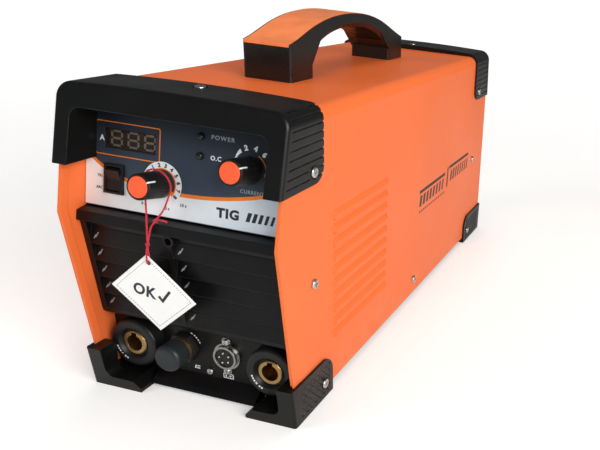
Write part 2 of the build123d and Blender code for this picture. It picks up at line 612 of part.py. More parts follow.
# ---------------------------------------------------------------- handle
HANDLE_LINE = ((125, 257), (140, 261), (156, 266.5), (176, 272), (202, 276), (232, 277), (262, 274.6),
               (290, 268.6), (316, 259.5), (346, 249))
HANDLE_UNDER = ((166, 250), (178, 256.5), (198, 262.5), (230, 265.5), (262, 262.8), (284, 256.8),
                (302, 248))
PAD_HALF = 19.2
PAD_PROUD = 0.5
PAD_DEEP = 2.0


def handle_band(low, high):
    """The (y, z) strip that follows the handle's top line, from low to high above it."""
    def lifted(by):
        return [(FRONT + y, z + by) for y, z in HANDLE_LINE]
    top, bottom = lifted(high), lifted(low)
    edges = Spline(*top) + Spline(*bottom) + Line(top[0], bottom[0]) + Line(top[-1], bottom[-1])
    return make_face(edges)


def build_handle():
    base = COVER_TOP + 0.1
    line = [(FRONT + y, z) for y, z in HANDLE_LINE]
    under = [(FRONT + y, z) for y, z in HANDLE_UNDER]
    inner_front = HANDLE_FRONT + HANDLE_LEG
    inner_rear = HANDLE_REAR - HANDLE_LEG
    edges = Spline(*line)
    edges += Polyline(line[-1], (HANDLE_REAR, base), (inner_rear, base), (inner_rear, 240), under[-1])
    edges += Spline(*under)
    edges += Polyline(under[0], (inner_front, 242), (inner_front, base), (HANDLE_FRONT, base), line[0])
    side = make_face(edges)
    body = extrude(Plane.YZ.offset(-HANDLE_HALF) * side, 2 * HANDLE_HALF, dir=(1, 0, 0))
    posts = [e for e in body.edges().filter_by(Axis.Z) if e.length > 8]
    body = fillet(posts, 3.0)
    curved = [e for e in body.edges() if e.geom_type == GeomType.BSPLINE and e.length > 100]
    arch = [e for e in curved if e.center().Z < 268 and abs(e.center().X) > HANDLE_HALF - 0.1]
    body = chamfer(arch, 3.4)
    pocket = Plane.YZ.offset(-PAD_HALF - 0.1) * handle_band(-PAD_DEEP - 0.1, 12)
    body -= extrude(pocket, 2 * PAD_HALF + 0.2, dir=(1, 0, 0))
    for across, along in HANDLE_SCREWS:
        body -= post(across, along, base - 1, 2.5, base + 14)
    return body


def build_handle_pad():
    strip = Plane.YZ.offset(-PAD_HALF) * handle_band(-PAD_DEEP, PAD_PROUD)
    return extrude(strip, 2 * PAD_HALF, dir=(1, 0, 0))


def build_handle_screws():
    """Four screws that come up through the cover's roof into the handle's legs."""
    screws = []
    for across, along in HANDLE_SCREWS:
        seat = Plane(origin=(across, along, COVER_TOP - SHEET - 0.05), x_dir=(1, 0, 0), z_dir=(0, 0, -1))
        screws.append(seat.location * pan_screw(4.6, 3.0, 2.45, 13))
    return Compound(children=screws)


# ---------------------------------------------------------------- screws outside
def side_screw(x, along, up, radius=3.9, height=2.3, shank=8):
    """A pan-head screw driven into the right wall, its head seat at x."""
    seat = Plane(origin=(x, along, up), x_dir=(0, 1, 0), z_dir=(1, 0, 0))
    return seat.location * pan_screw(radius, height, M4_R, shank)


def build_outer_screws():
    """The identical M4 screws that hold the guards, the feet and the cover."""
    seat_x = GUARD_HALF - 0.8 + 0.05
    screws = [side_screw(COVER_HALF + 0.05, along, up) for along, up in COVER_SCREWS]
    for along, up in (GUARD_SCREW, FOOT_SCREW):
        screws += [side_screw(seat_x, along, up), side_screw(seat_x, -along, up)]
    screws += [mirror(screw, Plane.YZ) for screw in screws]
    for along in (TOP_SCREW_Y, -TOP_SCREW_Y):
        screws.append(Pos(0, along, GUARD_TOP + 0.25) * pan_screw(3.9, 2.3, M4_R, 8))
    return Compound(children=screws)


# ---------------------------------------------------------------- rear end
GLAND = (44.0, 48.0)
POWER_SWITCH = (-44.0, 52.0)
GAS_INLET = (-4.0, 40.0)


def build_rear_panel():
    y0, y1 = REAR_PANEL_Y - 1.5, REAR_PANEL_Y
    body = arch_prism(INSIDE_HALF, 226.4, 8.4, y0, y1, 7.2)
    for side in (-1, 1):
        body += block(*sorted((side * (INSIDE_HALF - 1.5), side * INSIDE_HALF)), 180, y1, 88, 120)
    body -= rod(0, y0 - 5, FAN_Z, FAN_R, y1 + 5)
    for x, z in fan_corners():
        body -= rod(x, y0 - 5, z, 2.3, y1 + 5)
    body -= rod(GLAND[0], y0 - 5, GLAND[1], 8.1, y1 + 5)
    x, z = POWER_SWITCH
    body -= block(x - 12.4, x + 12.4, y0 - 5, y1 + 5, z - 14.4, z + 14.4)
    body -= rod(GAS_INLET[0], y0 - 5, GAS_INLET[1], 6.2, y1 + 5)
    along, up = COVER_SCREWS[2]
    body -= cross_rod(-100, along, up, M4_HOLE, 100)
    return body


def fan_corners():
    half = FAN_HOLES / 2
    return [(x, FAN_Z + z) for x in (-half, half) for z in (-half, half)]


def build_fan():
    """Fan frame with its motor spider, the bladed rotor, wire guard and screws."""
    y1 = REAR_PANEL_Y - 1.5 - 0.1
    y0 = y1 - FAN_T
    frame = Pos(0, (y0 + y1) / 2, FAN_Z) * Box(FAN_FRAME, FAN_T, FAN_FRAME)
    frame = fillet(frame.edges().filter_by(Axis.Y), 6)
    frame -= rod(0, y0 - 1, FAN_Z, FAN_R + 0.5, y1 + 1)
    for angle in (45, 165, 285):
        arm = Pos(0, y0 + 1.6, FAN_Z) * Rot(0, angle, 0) * Pos(39, 0, 0) * Box(40, 3.2, 5)
        frame += arm
    frame += rod(0, y0, FAN_Z, 21, y0 + 3.2)
    frame += rod(0, y0 + 3, FAN_Z, 6, y0 + 9)
    frame -= rod(0, y0 + 1.6, FAN_Z, 2.05, y0 + 20)
    for x, z in fan_corners():
        frame -= rod(x, y0 - 1, z, 2.3, y1 + 1)
    hub = rod(0, y0 + 4.2, FAN_Z, 20, y1 - 1.5)
    hub = fillet(hub.edges().group_by(Axis.Y)[-1], 2)
    hub -= rod(0, y0 + 4, FAN_Z, 18, y1 - 4)
    hub += rod(0, y0 + 2.2, FAN_Z, 2.0, y1 - 3)
    for k in range(7):
        blade = Pos(36.5, (y0 + y1) / 2 + 1.2, 0) * Rot(38, 0, 0) * Box(35.5, 26, 1.8)
        blade &= rod(0, y0 + 4.6, 0, FAN_R - 1.2, y1 - 1.6)
        hub += Pos(0, 0, FAN_Z) * Rot(0, k * 360 / 7, 0) * blade
    return frame, hub


def build_fan_guard():
    y = REAR_PANEL_Y + 1.5
    wire = 0.9
    guard = None
    for k in range(5):
        ring = Pos(0, y, FAN_Z) * Rot(90, 0, 0) * Torus(14 + 10.4 * k, wire)
        guard = ring if guard is None else guard + ring
    for angle in (45, 135, 225, 315):
        turn = Pos(0, y + 0.7, FAN_Z) * Rot(0, angle, 0)
        guard += turn * Pos(41.5, 0, 0) * Rot(0, 90, 0) * Cylinder(1.0, 58.0)
    for x, z in fan_corners():
        guard += rod(x, REAR_PANEL_Y + 0.05, z, 5.2, REAR_PANEL_Y + 3.6)
        guard -= rod(x, REAR_PANEL_Y - 5, z, 2.3, REAR_PANEL_Y + 8)
    return guard


def build_fan_screws():
    screws = []
    for x, z in fan_corners():
        seat = Plane(origin=(x, REAR_PANEL_Y + 3.65, z), x_dir=(1, 0, 0), z_dir=(0, 1, 0))
        screws.append(seat.location * pan_screw(4.0, 2.4, 2.0, 26))
    return Compound(children=screws)


def build_gland():
    """Cable gland, and the mains cable it grips, cut short behind the machine."""
    x, z = GLAND
    y = REAR_PANEL_Y
    gland = rod(x, y - 12, z, 8.0, y + 1)
    gland += hexagon(x, y + 2.1, z, 12.5, 2.0)
    gland += rod(x, y + 4, z, 10.5, y + 11)
    gland = fillet(gland.edges().group_by(Axis.Y)[-1], 2.0)
    gland += hexagon(x, y - 4.2, z, 12.0, 2.0)
    gland -= rod(x, y - 20, z, 5.05, y + 20)
    cable = rod(x, y - 40, z, 5.0, y + 15.5)
    return gland, cable


def build_gas_inlet():
    x, z = GAS_INLET
    y = REAR_PANEL_Y
    fitting = rod(x, y - 14, z, 6.0, y + 2)
    fitting += hexagon(x, y + 2.1, z, 9.5, 2.0)
    for k in range(3):
        fitting += Pos(x, y + 5.6 + k * 3.2, z) * Rot(-90, 0, 0) * Cone(4.4, 3.4, 3.2)
    fitting -= rod(x, y - 20, z, 2.0, y + 20)
    return fitting


# ---------------------------------------------------------------- inside
def build_control_board():
    board = Pos(0, 41, BOARD_OUT - 0.8) * Box(150, 66, 1.6)
    for across, up in (LEFT_KNOB, RIGHT_KNOB):
        board -= Pos(across, up, BOARD_OUT) * Cylinder(1.2, 10)
    board -= Pos(SWITCH[0], SWITCH[1], BOARD_OUT) * Box(16, 22, 10)
    parts = ((-15, 64, 24, 14, 8), (30, 20, 30, 12, 5), (60, 62, 14, 10, 10), (10, 30, 12, 12, 4))
    for across, up, wide, tall, high in parts:
        board += Pos(across, up, BOARD_OUT - 1.5 - high / 2) * Box(wide, tall, high)
    return panel.location * board


def build_inverter_board():
    board = block(-68, 68, -148, 158, DECK_Z, DECK_Z + 1.6)
    relays = ((50, -72, 20, 20, 18), (-2, -70, 16, 30, 12))
    drivers = ((0, 20, 18, 14, 10), (0, 60, 12, 22, 16), (58, 124, 12, 10, 12))
    for x, y, wide, deep, high in relays + drivers:
        part = Pos(x, y, DECK_Z + 1.3 + high / 2) * Box(wide, deep, high + 0.6)
        board += part
    for x, y in STANDOFFS:
        board -= post(x, y, DECK_Z - 5, 1.7, DECK_Z + 10)
    return board


def build_standoffs():
    posts = []
    foot = TRAY_Z + TRAY_T + 0.05
    for x, y in STANDOFFS:
        body = extrude(Pos(x, y, foot) * RegularPolygon(4.0, 6), DECK_Z - 0.05 - foot)
        posts.append(body + post(x, y, DECK_Z - 1, 1.6, DECK_Z + 4))
    return Compound(children=posts)


def build_heatsink(side):
    """Finned aluminium extrusion standing on the power board, modules on its inner face."""
    x0, x1 = 26.0, 31.0
    z0, z1 = DECK_Z + 1.8, 142.0
    sink = block(x0, x1, -40, 110, z0, z1)
    for k in range(13):
        z = z0 + 3 + k * 8.4
        sink += block(x1 - 1, 68, -40, 110, z, z + 2.0)
    return sink if side > 0 else mirror(sink, Plane.YZ)


def build_power_modules():
    """Eight flat power transistors clamped to the heat sinks' inner faces."""
    modules = []
    for k in range(4):
        y = -22 + k * 36
        body = block(20.8, 25.9, y - 8, y + 8, 70, 91)
        for dy in (-5, 0, 5):
            body += block(22.8, 23.6, y + dy - 0.7, y + dy + 0.7, DECK_Z + 1.9, 71)
        modules += [body, mirror(body, Plane.YZ)]
    return Compound(children=modules)


def build_capacitors():
    """Three bulk capacitors standing on the power board."""
    cans = []
    for x in (-44, 0, 44):
        can = post(x, -122, DECK_Z + 1.7, 15.0, 84)
        cans.append(fillet(can.edges().group_by(Axis.Z)[-1], 1.5))
    return Compound(children=cans)


def build_transformer():
    """Ferrite E-core on the power board with its wound coil."""
    z0 = DECK_Z + 1.7
    core = block(-60, -6, 118, 156, z0, z0 + 44)
    core -= block(-50, -39, 110, 160, z0 + 9, z0 + 35)
    core -= block(-27, -16, 110, 160, z0 + 9, z0 + 35)
    coil = block(-49.8, -16.2, 112, 162, z0 + 9.2, z0 + 34.8)
    coil = fillet(coil.edges().filter_by(Axis.Z), 8)
    coil -= block(-39.1, -26.9, 117.9, 156.1, z0, z0 + 60)
    return core, coil


def build_reactor():
    """Toroidal output reactor lying on the power board."""
    z0 = DECK_Z + 1.7
    ring = post(30, 138, z0, 19, z0 + 22) - post(30, 138, z0 - 1, 8, z0 + 30)
    return fillet(ring.edges().filter_by(GeomType.CIRCLE), 4)


def build_busbars():
    """Two copper bars from the output sockets' studs back over the power board."""
    wall = FRONT + SOCKET_WALL
    x = SOCKET_X
    bar = block(x - 9, x + 9, wall + 26, wall + 29, 24, 96)
    bar += block(x - 9, x + 9, wall + 26, -42, 93, 96)
    bar -= rod(x, wall + 20, SOCKET_Z, 5.2, wall + 40)
    return both_sides(bar)


def build_gas_valve():
    """Solenoid valve hung behind the rear panel's gas inlet."""
    x, z = GAS_INLET
    y = REAR_PANEL_Y - 14.3
    body = block(x - 11, x + 11, y - 26, y, z - 9, z + 9)
    body += block(x - 13, x + 13, y - 26, y - 4, z + 8, z + 34)
    body += rod(x, y - 34, z, 4.0, y - 25)
    return body


def build_gas_hose():
    """Hose from the valve to the gas outlet, laid along the floor of the tray."""
    wall = FRONT + SOCKET_WALL
    x_in, z_in = GAS_INLET
    start_y = REAR_PANEL_Y - 14.3 - 34.2
    behind = [(x_in, start_y, z_in), (x_in, start_y - 5, z_in), (x_in, start_y - 13, 20)]
    ahead = [(OUTLET_X, -150, 20), (OUTLET_X, -168, SOCKET_Z), (OUTLET_X, wall + 30.2, SOCKET_Z)]
    path = Polyline(*behind, *ahead)
    start = Plane(origin=(x_in, start_y, z_in), z_dir=(0, -1, 0))
    return sweep(start * Circle(3.9), path, transition=Transition.ROUND)


def build_arc_starter():
    """Potted high-frequency arc starter on the power board."""
    z0 = DECK_Z + 1.7
    return block(-66, -30, -100, -52, z0, z0 + 30)


# ---------------------------------------------------------------- tag and string
TAG_Y = FRONT + 8.6
TAG_T = 0.4
TAG_HOLE = (-22.0, 114.0)
TAG_CORNERS = ((-23.0, 120.5), (15.0, 90.0), (-17.0, 62.0), (-54.5, 92.0))
STRING_R = 0.7


def build_tag():
    """Paper tag hung by one corner."""
    outline = Plane.XZ.offset(-TAG_Y - TAG_T / 2) * Polygon(*TAG_CORNERS, align=None)
    card = extrude(outline, TAG_T, dir=(0, -1, 0))
    card = fillet(card.edges().filter_by(Axis.Y), 1.2)
    return card - rod(TAG_HOLE[0], TAG_Y - 2, TAG_HOLE[1], 1.7, TAG_Y + 2)


def strand(points):
    """A string through some points, with round joints."""
    body = None
    for a, b in zip(points, points[1:]):
        direction = Vector(*b) - Vector(*a)
        line = Plane(origin=a, z_dir=direction).location * disc(STRING_R, 0, direction.length)
        body = line if body is None else body + line
        body += Pos(*b) * Sphere(STRING_R)
    return body


def build_string():
    """Loop round the left knob, two strands down to a knot, and a loop through the tag's hole."""
    knob_y = FRONT + PANEL_SET_BACK + LEFT_KNOB[1] * math.sin(math.radians(PANEL_TILT)) - 5.0
    knob_z = NOSE_Z + LEFT_KNOB[1] * math.cos(math.radians(PANEL_TILT)) + 1.0
    x = LEFT_KNOB[0]
    loop_r = KNOB_R + 0.35 + STRING_R
    loop = Pos(x, knob_y, knob_z) * Rot(90, 0, 0) * Torus(loop_r, STRING_R)
    ledge_y = FRONT + 10.9
    knot = (-21.2, TAG_Y, 128.0)
    left = strand([(x - 7.0, knob_y, knob_z - 8.0), (-22.0, ledge_y, 139.0), knot])
    right = strand([(x + 9.0, knob_y, knob_z - 5.5), (-17.0, ledge_y, 139.0), knot])
    hole_x, hole_z = TAG_HOLE
    off = TAG_T / 2 + STRING_R + 0.15
    down = [(hole_x, TAG_Y - off, 122.5), (hole_x, TAG_Y - off, hole_z)]
    up = [(hole_x, TAG_Y + off, hole_z), (hole_x, TAG_Y + off, 122.5)]
    return loop + left + right + strand([knot, *down, *up, knot])


# ---------------------------------------------------------------- write every piece
def front_end():
    """Pieces that meet the front of the machine."""
    seat = panel.offset(GAP)
    right_foot = build_foot(foot_face, FRONT + RAIL_BACK, FRONT + SOCKET_WALL - GAP)
    return {
        "front_guard": build_guard(guard_face, seat, 216.0),
        "front_right_foot": right_foot,
        "front_left_foot": mirror(right_foot, Plane.YZ),
        "lower_fascia": build_fascia(),
        "control_panel": build_control_panel(),
        "display_window": build_display_window(),
        "display_module": build_display_module(),
        "indicator_leds": build_leds(),
        "control_board": build_control_board(),
    }


def controls():
    """Knobs, their potentiometers and the mode switch."""
    left_grip, left_cap = build_knob(LEFT_KNOB)
    right_grip, right_cap = build_knob(RIGHT_KNOB)
    body, rocker = rocker_switch(SWITCH_W, SWITCH_H, 12.0)
    return {
        "potentiometers": build_potentiometers(),
        "crater_knob_grip": left_grip,
        "crater_knob_cap": left_cap,
        "current_knob_grip": right_grip,
        "current_knob_cap": right_cap,
        "mode_switch_body": on(panel, body, *SWITCH, 0.05),
        "mode_rocker": on(panel, rocker, *SWITCH, 0.05),
    }


def connectors():
    """Everything on the socket wall."""
    positive_body, positive_insert = build_socket(SOCKET_X)
    negative_body, negative_insert = build_socket(-SOCKET_X)
    fitting, cap = build_gas_outlet()
    shell, insert, pins = build_trigger_socket()
    return {
        "positive_socket_body": positive_body,
        "positive_socket_insert": positive_insert,
        "negative_socket_body": negative_body,
        "negative_socket_insert": negative_insert,
        "gas_outlet_fitting": fitting,
        "gas_outlet_cap": cap,
        "trigger_socket_shell": shell,
        "trigger_socket_insert": insert,
        "trigger_socket_pins": pins,
        "socket_wall_screws": build_small_screws(),
    }


def outside():
    """Cover, handle, screws, tag and string."""
    return {
        "shell_cover": build_cover(),
        "base_tray": build_tray(),
        "handle_frame": build_handle(),
        "handle_pad": build_handle_pad(),
        "handle_screws": build_handle_screws(),
        "cover_screws": build_outer_screws(),
        "hang_tag": build_tag(),
        "tag_string": build_string(),
    }


def rear_end():
    """Everything on the rear panel."""
    frame, rotor = build_fan()
    gland, cable = build_gland()
    rail_back = FRONT + REAR_RAIL - GAP
    right_foot = back_to_front(build_foot(rear_foot_face, rail_back, rail_back))
    body, rocker = rocker_switch(26.0, 31.0, 18.0)
    place = (POWER_SWITCH[0], REAR_PANEL_Y + 0.05, POWER_SWITCH[1])
    seat = Plane(origin=place, x_dir=(-1, 0, 0), z_dir=(0, 1, 0))
    return {
        "rear_guard": back_to_front(build_guard(rear_guard_face, rear_seat, 221.0)),
        "rear_right_foot": right_foot,
        "rear_left_foot": mirror(right_foot, Plane.YZ),
        "rear_panel": build_rear_panel(),
        "fan_frame": frame,
        "fan_rotor": rotor,
        "fan_guard": build_fan_guard(),
        "fan_screws": build_fan_screws(),
        "cable_gland": gland,
        "mains_cable": cable,
        "gas_inlet_fitting": build_gas_inlet(),
        "power_switch_body": seat.location * body,
        "power_rocker": seat.location * rocker,
    }


def inside():
    """Electronics and gas parts under the cover."""
    core, coil = build_transformer()
    return {
        "inverter_board": build_inverter_board(),
        "board_standoffs": build_standoffs(),
        "left_heatsink": build_heatsink(-1),
        "right_heatsink": build_heatsink(1),
        "power_modules": build_power_modules(),
        "bulk_capacitors": build_capacitors(),
        "transformer_core": core,
        "transformer_coil": coil,
        "output_reactor": build_reactor(),
        "busbars": build_busbars(),
        "gas_valve": build_gas_valve(),
        "gas_hose": build_gas_hose(),
        "arc_starter": build_arc_starter(),
    }


for group in (front_end, controls, connectors, outside, rear_end, inside):
    for name, shape in group().items():
        export_step(shape, f"parts/{name}.step")
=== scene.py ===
"""The looks of a TIG welding machine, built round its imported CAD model."""
import json
import math

import bmesh
import bpy
from mathutils import Matrix, Vector


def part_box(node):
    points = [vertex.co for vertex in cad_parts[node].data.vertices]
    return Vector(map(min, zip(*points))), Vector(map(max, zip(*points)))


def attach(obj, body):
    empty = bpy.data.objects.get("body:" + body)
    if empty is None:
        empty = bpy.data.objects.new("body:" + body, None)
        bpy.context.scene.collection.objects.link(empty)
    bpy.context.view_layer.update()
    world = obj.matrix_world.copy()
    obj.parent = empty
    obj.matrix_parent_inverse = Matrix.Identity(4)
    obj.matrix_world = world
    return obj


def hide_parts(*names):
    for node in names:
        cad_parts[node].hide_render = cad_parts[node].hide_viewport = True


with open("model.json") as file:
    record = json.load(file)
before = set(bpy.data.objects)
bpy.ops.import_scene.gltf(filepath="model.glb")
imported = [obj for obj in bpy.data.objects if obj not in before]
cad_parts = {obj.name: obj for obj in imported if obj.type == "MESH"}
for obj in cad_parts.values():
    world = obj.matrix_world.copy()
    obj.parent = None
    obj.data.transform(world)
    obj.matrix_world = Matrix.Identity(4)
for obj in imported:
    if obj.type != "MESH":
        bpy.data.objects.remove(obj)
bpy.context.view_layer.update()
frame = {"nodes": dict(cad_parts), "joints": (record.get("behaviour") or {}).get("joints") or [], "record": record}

MM = 0.001
NODES = frame["nodes"]
JOINTS = {joint["name"]: joint for joint in frame["joints"]}
MACHINE = "machine"

# ---------------------------------------------------------------- places, from the frame
PANEL_OUT = Vector(JOINTS["current_knob_turn"]["axis"]).normalized()
PANEL_UP = PANEL_OUT.cross(Vector((1, 0, 0)))
LEFT_DIAL = Vector(JOINTS["crater_knob_turn"]["pos_m"])
RIGHT_DIAL = Vector(JOINTS["current_knob_turn"]["pos_m"])
LEFT_DIAL_UP = 23.0                 # height of the left knob's middle up the panel, mm
PANEL_HALF = 81.2                   # half the printed width of the panel, mm
LEFT_KNOB = (LEFT_DIAL.x / MM, LEFT_DIAL_UP)
PANEL_FOOT = LEFT_DIAL - PANEL_UP * LEFT_DIAL_UP * MM
PANEL_FOOT.x = 0
RIGHT_KNOB = (RIGHT_DIAL.x / MM, (RIGHT_DIAL - PANEL_FOOT).dot(PANEL_UP) / MM)
SWITCH_SIDES = (-64.8, -50.2)       # the mode switch, across the panel, mm
SWITCH_FOOT = 11.2
STRIPE_TALL = 2.6
WALL_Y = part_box("positive_socket_body")[0].y + 10.9 * MM    # just in front of the socket wall
SIDE_X = 83.02 * MM                 # just outside the cover's flat sides
GRILLE_OUT = Vector((0, -math.cos(math.radians(7)), -math.sin(math.radians(7))))
GRILLE_TOP = PANEL_FOOT + Vector((0, -7.0, -7.0)) * MM

INK = 0.06                          # thickness of a printed layer, mm


def plane(origin, across, out):
    """The millimetre frame of a flat face: x across it, z out of it, in the row frame."""
    across, out = Vector(across).normalized(), Vector(out).normalized()
    up = out.cross(across)
    turn = Matrix((across, up, out)).transposed().to_4x4()
    return Matrix.Translation(origin) @ turn @ Matrix.Scale(MM, 4)


PANEL = plane(PANEL_FOOT, (1, 0, 0), PANEL_OUT)


# ---------------------------------------------------------------- materials
def rgb(red, green, blue):
    """A linear colour from the usual 0 to 255 screen values."""
    def linear(value):
        value /= 255
        return value / 12.92 if value <= 0.04045 else ((value + 0.055) / 1.055) ** 2.4
    return (linear(red), linear(green), linear(blue), 1.0)


def shade(colour, by):
    """A colour made lighter or darker."""
    return tuple(min(1.0, channel * by) for channel in colour[:3]) + (1.0,)


class Finish:
    """A node material built round one Principled shader, in the row frame's coordinates."""

    def __init__(self, name, colour, rough, metal=0.0):
        self.material = bpy.data.materials.new(name)
        self.material.use_nodes = True
        self.tree = self.material.node_tree
        self.shader = self.tree.nodes["Principled BSDF"]
        self.place = self.add("TexCoord").outputs["Object"]
        self.colour = self.constant(colour)
        self.rough = self.number(rough)
        self.normal = None
        self.put("Metallic", metal)

    def add(self, kind, settings=None, **inputs):
        """Adds a node. An input is a number, a vector or another node's output."""
        node = self.tree.nodes.new("ShaderNode" + kind)
        for key, value in (settings or {}).items():
            setattr(node, key, value)
        for key, value in inputs.items():
            self.feed(node.inputs[key.replace("_", " ")], value)
        return node

    def feed(self, socket, value):
        if isinstance(value, bpy.types.NodeSocket):
            self.tree.links.new(value, socket)
        else:
            socket.default_value = value

    def put(self, name, value):
        """Sets one of the shader's own inputs."""
        self.feed(self.shader.inputs[name], value)

    def constant(self, colour):
        node = self.add("RGB")
        node.outputs[0].default_value = colour
        return node.outputs[0]

    def number(self, value):
        node = self.add("Value")
        node.outputs[0].default_value = value
        return node.outputs[0]

    def math(self, operation, a, b=0.0, clamp=False):
        node = self.add("Math", {"operation": operation, "use_clamp": clamp})
        self.feed(node.inputs[0], a)
        self.feed(node.inputs[1], b)
        return node.outputs[0]

    def remap(self, value, low, high, to_low=0.0, to_high=1.0):
        return self.add("MapRange", Value=value, From_Min=low, From_Max=high,
                        To_Min=to_low, To_Max=to_high).outputs[0]

    def mix(self, share, a, b):
        return self.add("MixRGB", Fac=share, Color1=a, Color2=b).outputs[0]

    def noise(self, scale, detail=3.0, stretch=(1, 1, 1), rough=0.5):
        """Noise of a given scale (features per metre), stretched along the axes."""
        place = self.add("Mapping", Vector=self.place, Scale=stretch).outputs[0]
        node = self.add("TexNoise", Vector=place, Scale=scale, Detail=detail, Roughness=rough)
        return node.outputs["Fac"]

    def axis(self, name):
        return self.add("SeparateXYZ", Vector=self.place).outputs[name]

    def vary(self, scale, amount, **options):
        """Colour drifts lighter and darker."""
        drift = self.remap(self.noise(scale, **options), 0.3, 0.7, 1 - amount, 1 + amount)
        self.colour = self.add("HueSaturation", Color=self.colour, Value=drift).outputs[0]
        return self

    def smudge(self, scale, amount, **options):
        """Roughness drifts up and down."""
        drift = self.remap(self.noise(scale, **options), 0.3, 0.7, -amount, amount)
        self.rough = self.math("ADD", self.rough, drift, clamp=True)
        return self

    def bump(self, height, depth, strength=1.0):
        """Raises the surface by a height from 0 to 1, depth metres high."""
        node = self.add("Bump", Height=height, Distance=depth, Strength=strength)
        if self.normal is not None:
            self.feed(node.inputs["Normal"], self.normal)
        self.normal = node.outputs[0]
        return self

    def grain(self, scale, depth, **options):
        return self.bump(self.noise(scale, **options), depth)

    def soften(self, radius, wear=None, amount=0.5):
        """Rounds sharp edges in the shading, and lightens them where they rub."""
        bevel = self.add("Bevel", {"samples": 6}, Radius=radius)
        self.normal = bevel.outputs[0]
        if wear is not None:
            sharp = self.add("NewGeometry").outputs["Normal"]
            along = self.add("VectorMath", {"operation": "DOT_PRODUCT"})
            self.feed(along.inputs[0], sharp)
            self.feed(along.inputs[1], bevel.outputs[0])
            edge = self.remap(along.outputs["Value"], 0.985, 0.86, 0.0, amount)
            patchy = self.remap(self.noise(160, detail=4), 0.42, 0.6)
            self.colour = self.mix(self.math("MULTIPLY", edge, patchy), self.colour, wear)
        return self

    def done(self):
        self.put("Base Color", self.colour)
        self.put("Roughness", self.rough)
        if self.normal is not None:
            self.put("Normal", self.normal)
        return self.material


ORANGE = rgb(244, 117, 60)
PAD_ORANGE = rgb(252, 140, 82)
SLATE = rgb(52, 62, 76)
WHITE_INK = rgb(236, 240, 244)
ORANGE_INK = rgb(240, 128, 32)
DARK_INK = rgb(30, 38, 50)
GREY_INK = rgb(150, 158, 166)


def powder_coat():
    """Orange powder coat: fine orange peel on slightly wavy sheet, and painted light from the floor that makes it
    paler, in patches, low down.
    """
    coat = Finish("cover_paint", ORANGE, 0.34)
    coat.vary(9, 0.035).vary(420, 0.02)
    # painted bounce light: the lowest 5 cm are mixed, in noisy patches, towards a paler pink orange, as if lit
    # from the floor
    low = coat.remap(coat.axis("Z"), 0.05, 0.0)
    bounce_light = coat.math("MULTIPLY", low, coat.remap(coat.noise(60, 5), 0.4, 0.75, 0, 0.35))
    coat.colour = coat.mix(bounce_light, coat.colour, rgb(226, 168, 138))
    coat.smudge(14, 0.05, detail=5).soften(0.0006, rgb(255, 150, 100), 0.35)
    coat.grain(11, 0.0006, detail=1).grain(850, 0.00002)
    coat.put("Specular IOR Level", 0.18)
    return coat.done()


def guard_plastic():
    """Black nylon from a spark-eroded mould, rubbed a little along its edges."""
    nylon = Finish("guard_plastic", rgb(15, 16, 16), 0.34)
    nylon.vary(30, 0.10).vary(900, 0.08).smudge(22, 0.07, detail=5)
    nylon.soften(0.0007, rgb(78, 82, 84), 0.5).grain(1500, 0.00005, detail=2)
    nylon.put("Specular IOR Level", 0.30)
    return nylon.done()


def fascia_plastic():
    """Black moulding."""
    plastic = Finish("fascia_plastic", rgb(11, 11, 12), 0.40)
    plastic.vary(40, 0.12).smudge(35, 0.08, detail=4).soften(0.0005, rgb(60, 62, 66), 0.4)
    plastic.grain(1700, 0.00004, detail=2)
    plastic.put("Specular IOR Level", 0.3)
    return plastic.done()


def tray_steel():
    """Black semi-matt paint on sheet steel."""
    paint = Finish("tray_steel", rgb(30, 31, 33), 0.5)
    paint.vary(25, 0.12).smudge(30, 0.08)
    paint.soften(0.0005, rgb(110, 108, 104), 0.4).grain(700, 0.00003)
    return paint.done()


def moulded(name, colour, rough, grain=1600, depth=0.00003, worn=None):
    """A plain moulded plastic part."""
    plastic = Finish(name, colour, rough)
    plastic.vary(60, 0.10).smudge(50, 0.07, detail=4)
    plastic.soften(0.0004, worn or shade(colour, 2.2), 0.4)
    plastic.put("Specular IOR Level", 0.4)
    return plastic.grain(grain, depth, detail=2).done()


def panel_print():
    """Slate overlay of the control panel, with painted shade of the guard's overhang: lighter towards its foot,
    dark towards its top.
    """
    sheet = Finish("panel_print", SLATE, 0.36)
    low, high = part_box("control_panel")
    # painted shade: the slate darkens up the panel, where the guard's overhang shades it
    fade = sheet.remap(sheet.axis("Z"), low.z + 0.02, high.z - 0.008)
    sheet.colour = sheet.mix(fade, shade(SLATE, 1.3), shade(SLATE, 0.26))
    sheet.vary(70, 0.05).smudge(45, 0.06, detail=4).soften(0.0004).grain(2300, 0.00002, detail=1)
    sheet.put("Specular IOR Level", 0.28)
    return sheet.done()


def ink(name, colour):
    """Screen-printed ink: nearly even, with a faint mesh."""
    print_ = Finish(name, colour, 0.42)
    print_.vary(300, 0.04).smudge(120, 0.05).grain(2600, 0.00001, detail=1)
    return print_.done()


def band_ink():
    """White band of the panel that fades to silver blue at the right."""
    band = Finish("band_ink", WHITE_INK, 0.34)
    fade = band.remap(band.axis("X"), -0.045, 0.075)
    band.colour = band.mix(fade, rgb(252, 253, 254), rgb(196, 214, 228))
    band.vary(90, 0.03).smudge(60, 0.05).grain(2600, 0.00001, detail=1)
    return band.done()


def window_pane():
    """Smoked pane over the display."""
    pane = Finish("window", rgb(50, 38, 31), 0.12)
    pane.vary(60, 0.08).smudge(80, 0.04).grain(400, 0.000004)
    pane.put("Alpha", 0.34)
    pane.put("Specular IOR Level", 0.4)
    return pane.done()


def segments():
    """Display block: dark resin with the unlit segments paler."""
    block = Finish("segments", rgb(82, 73, 66), 0.6)
    out = block.add("VectorMath", {"operation": "DOT_PRODUCT"})
    block.feed(out.inputs[0], block.place)
    block.feed(out.inputs[1], tuple(PANEL_OUT))
    level = PANEL_FOOT.dot(PANEL_OUT) - 3.36 * MM
    raised = block.math("GREATER_THAN", out.outputs["Value"], level)
    block.colour = block.mix(raised, block.colour, rgb(226, 214, 198))
    return block.vary(500, 0.06).grain(1800, 0.00002).done()


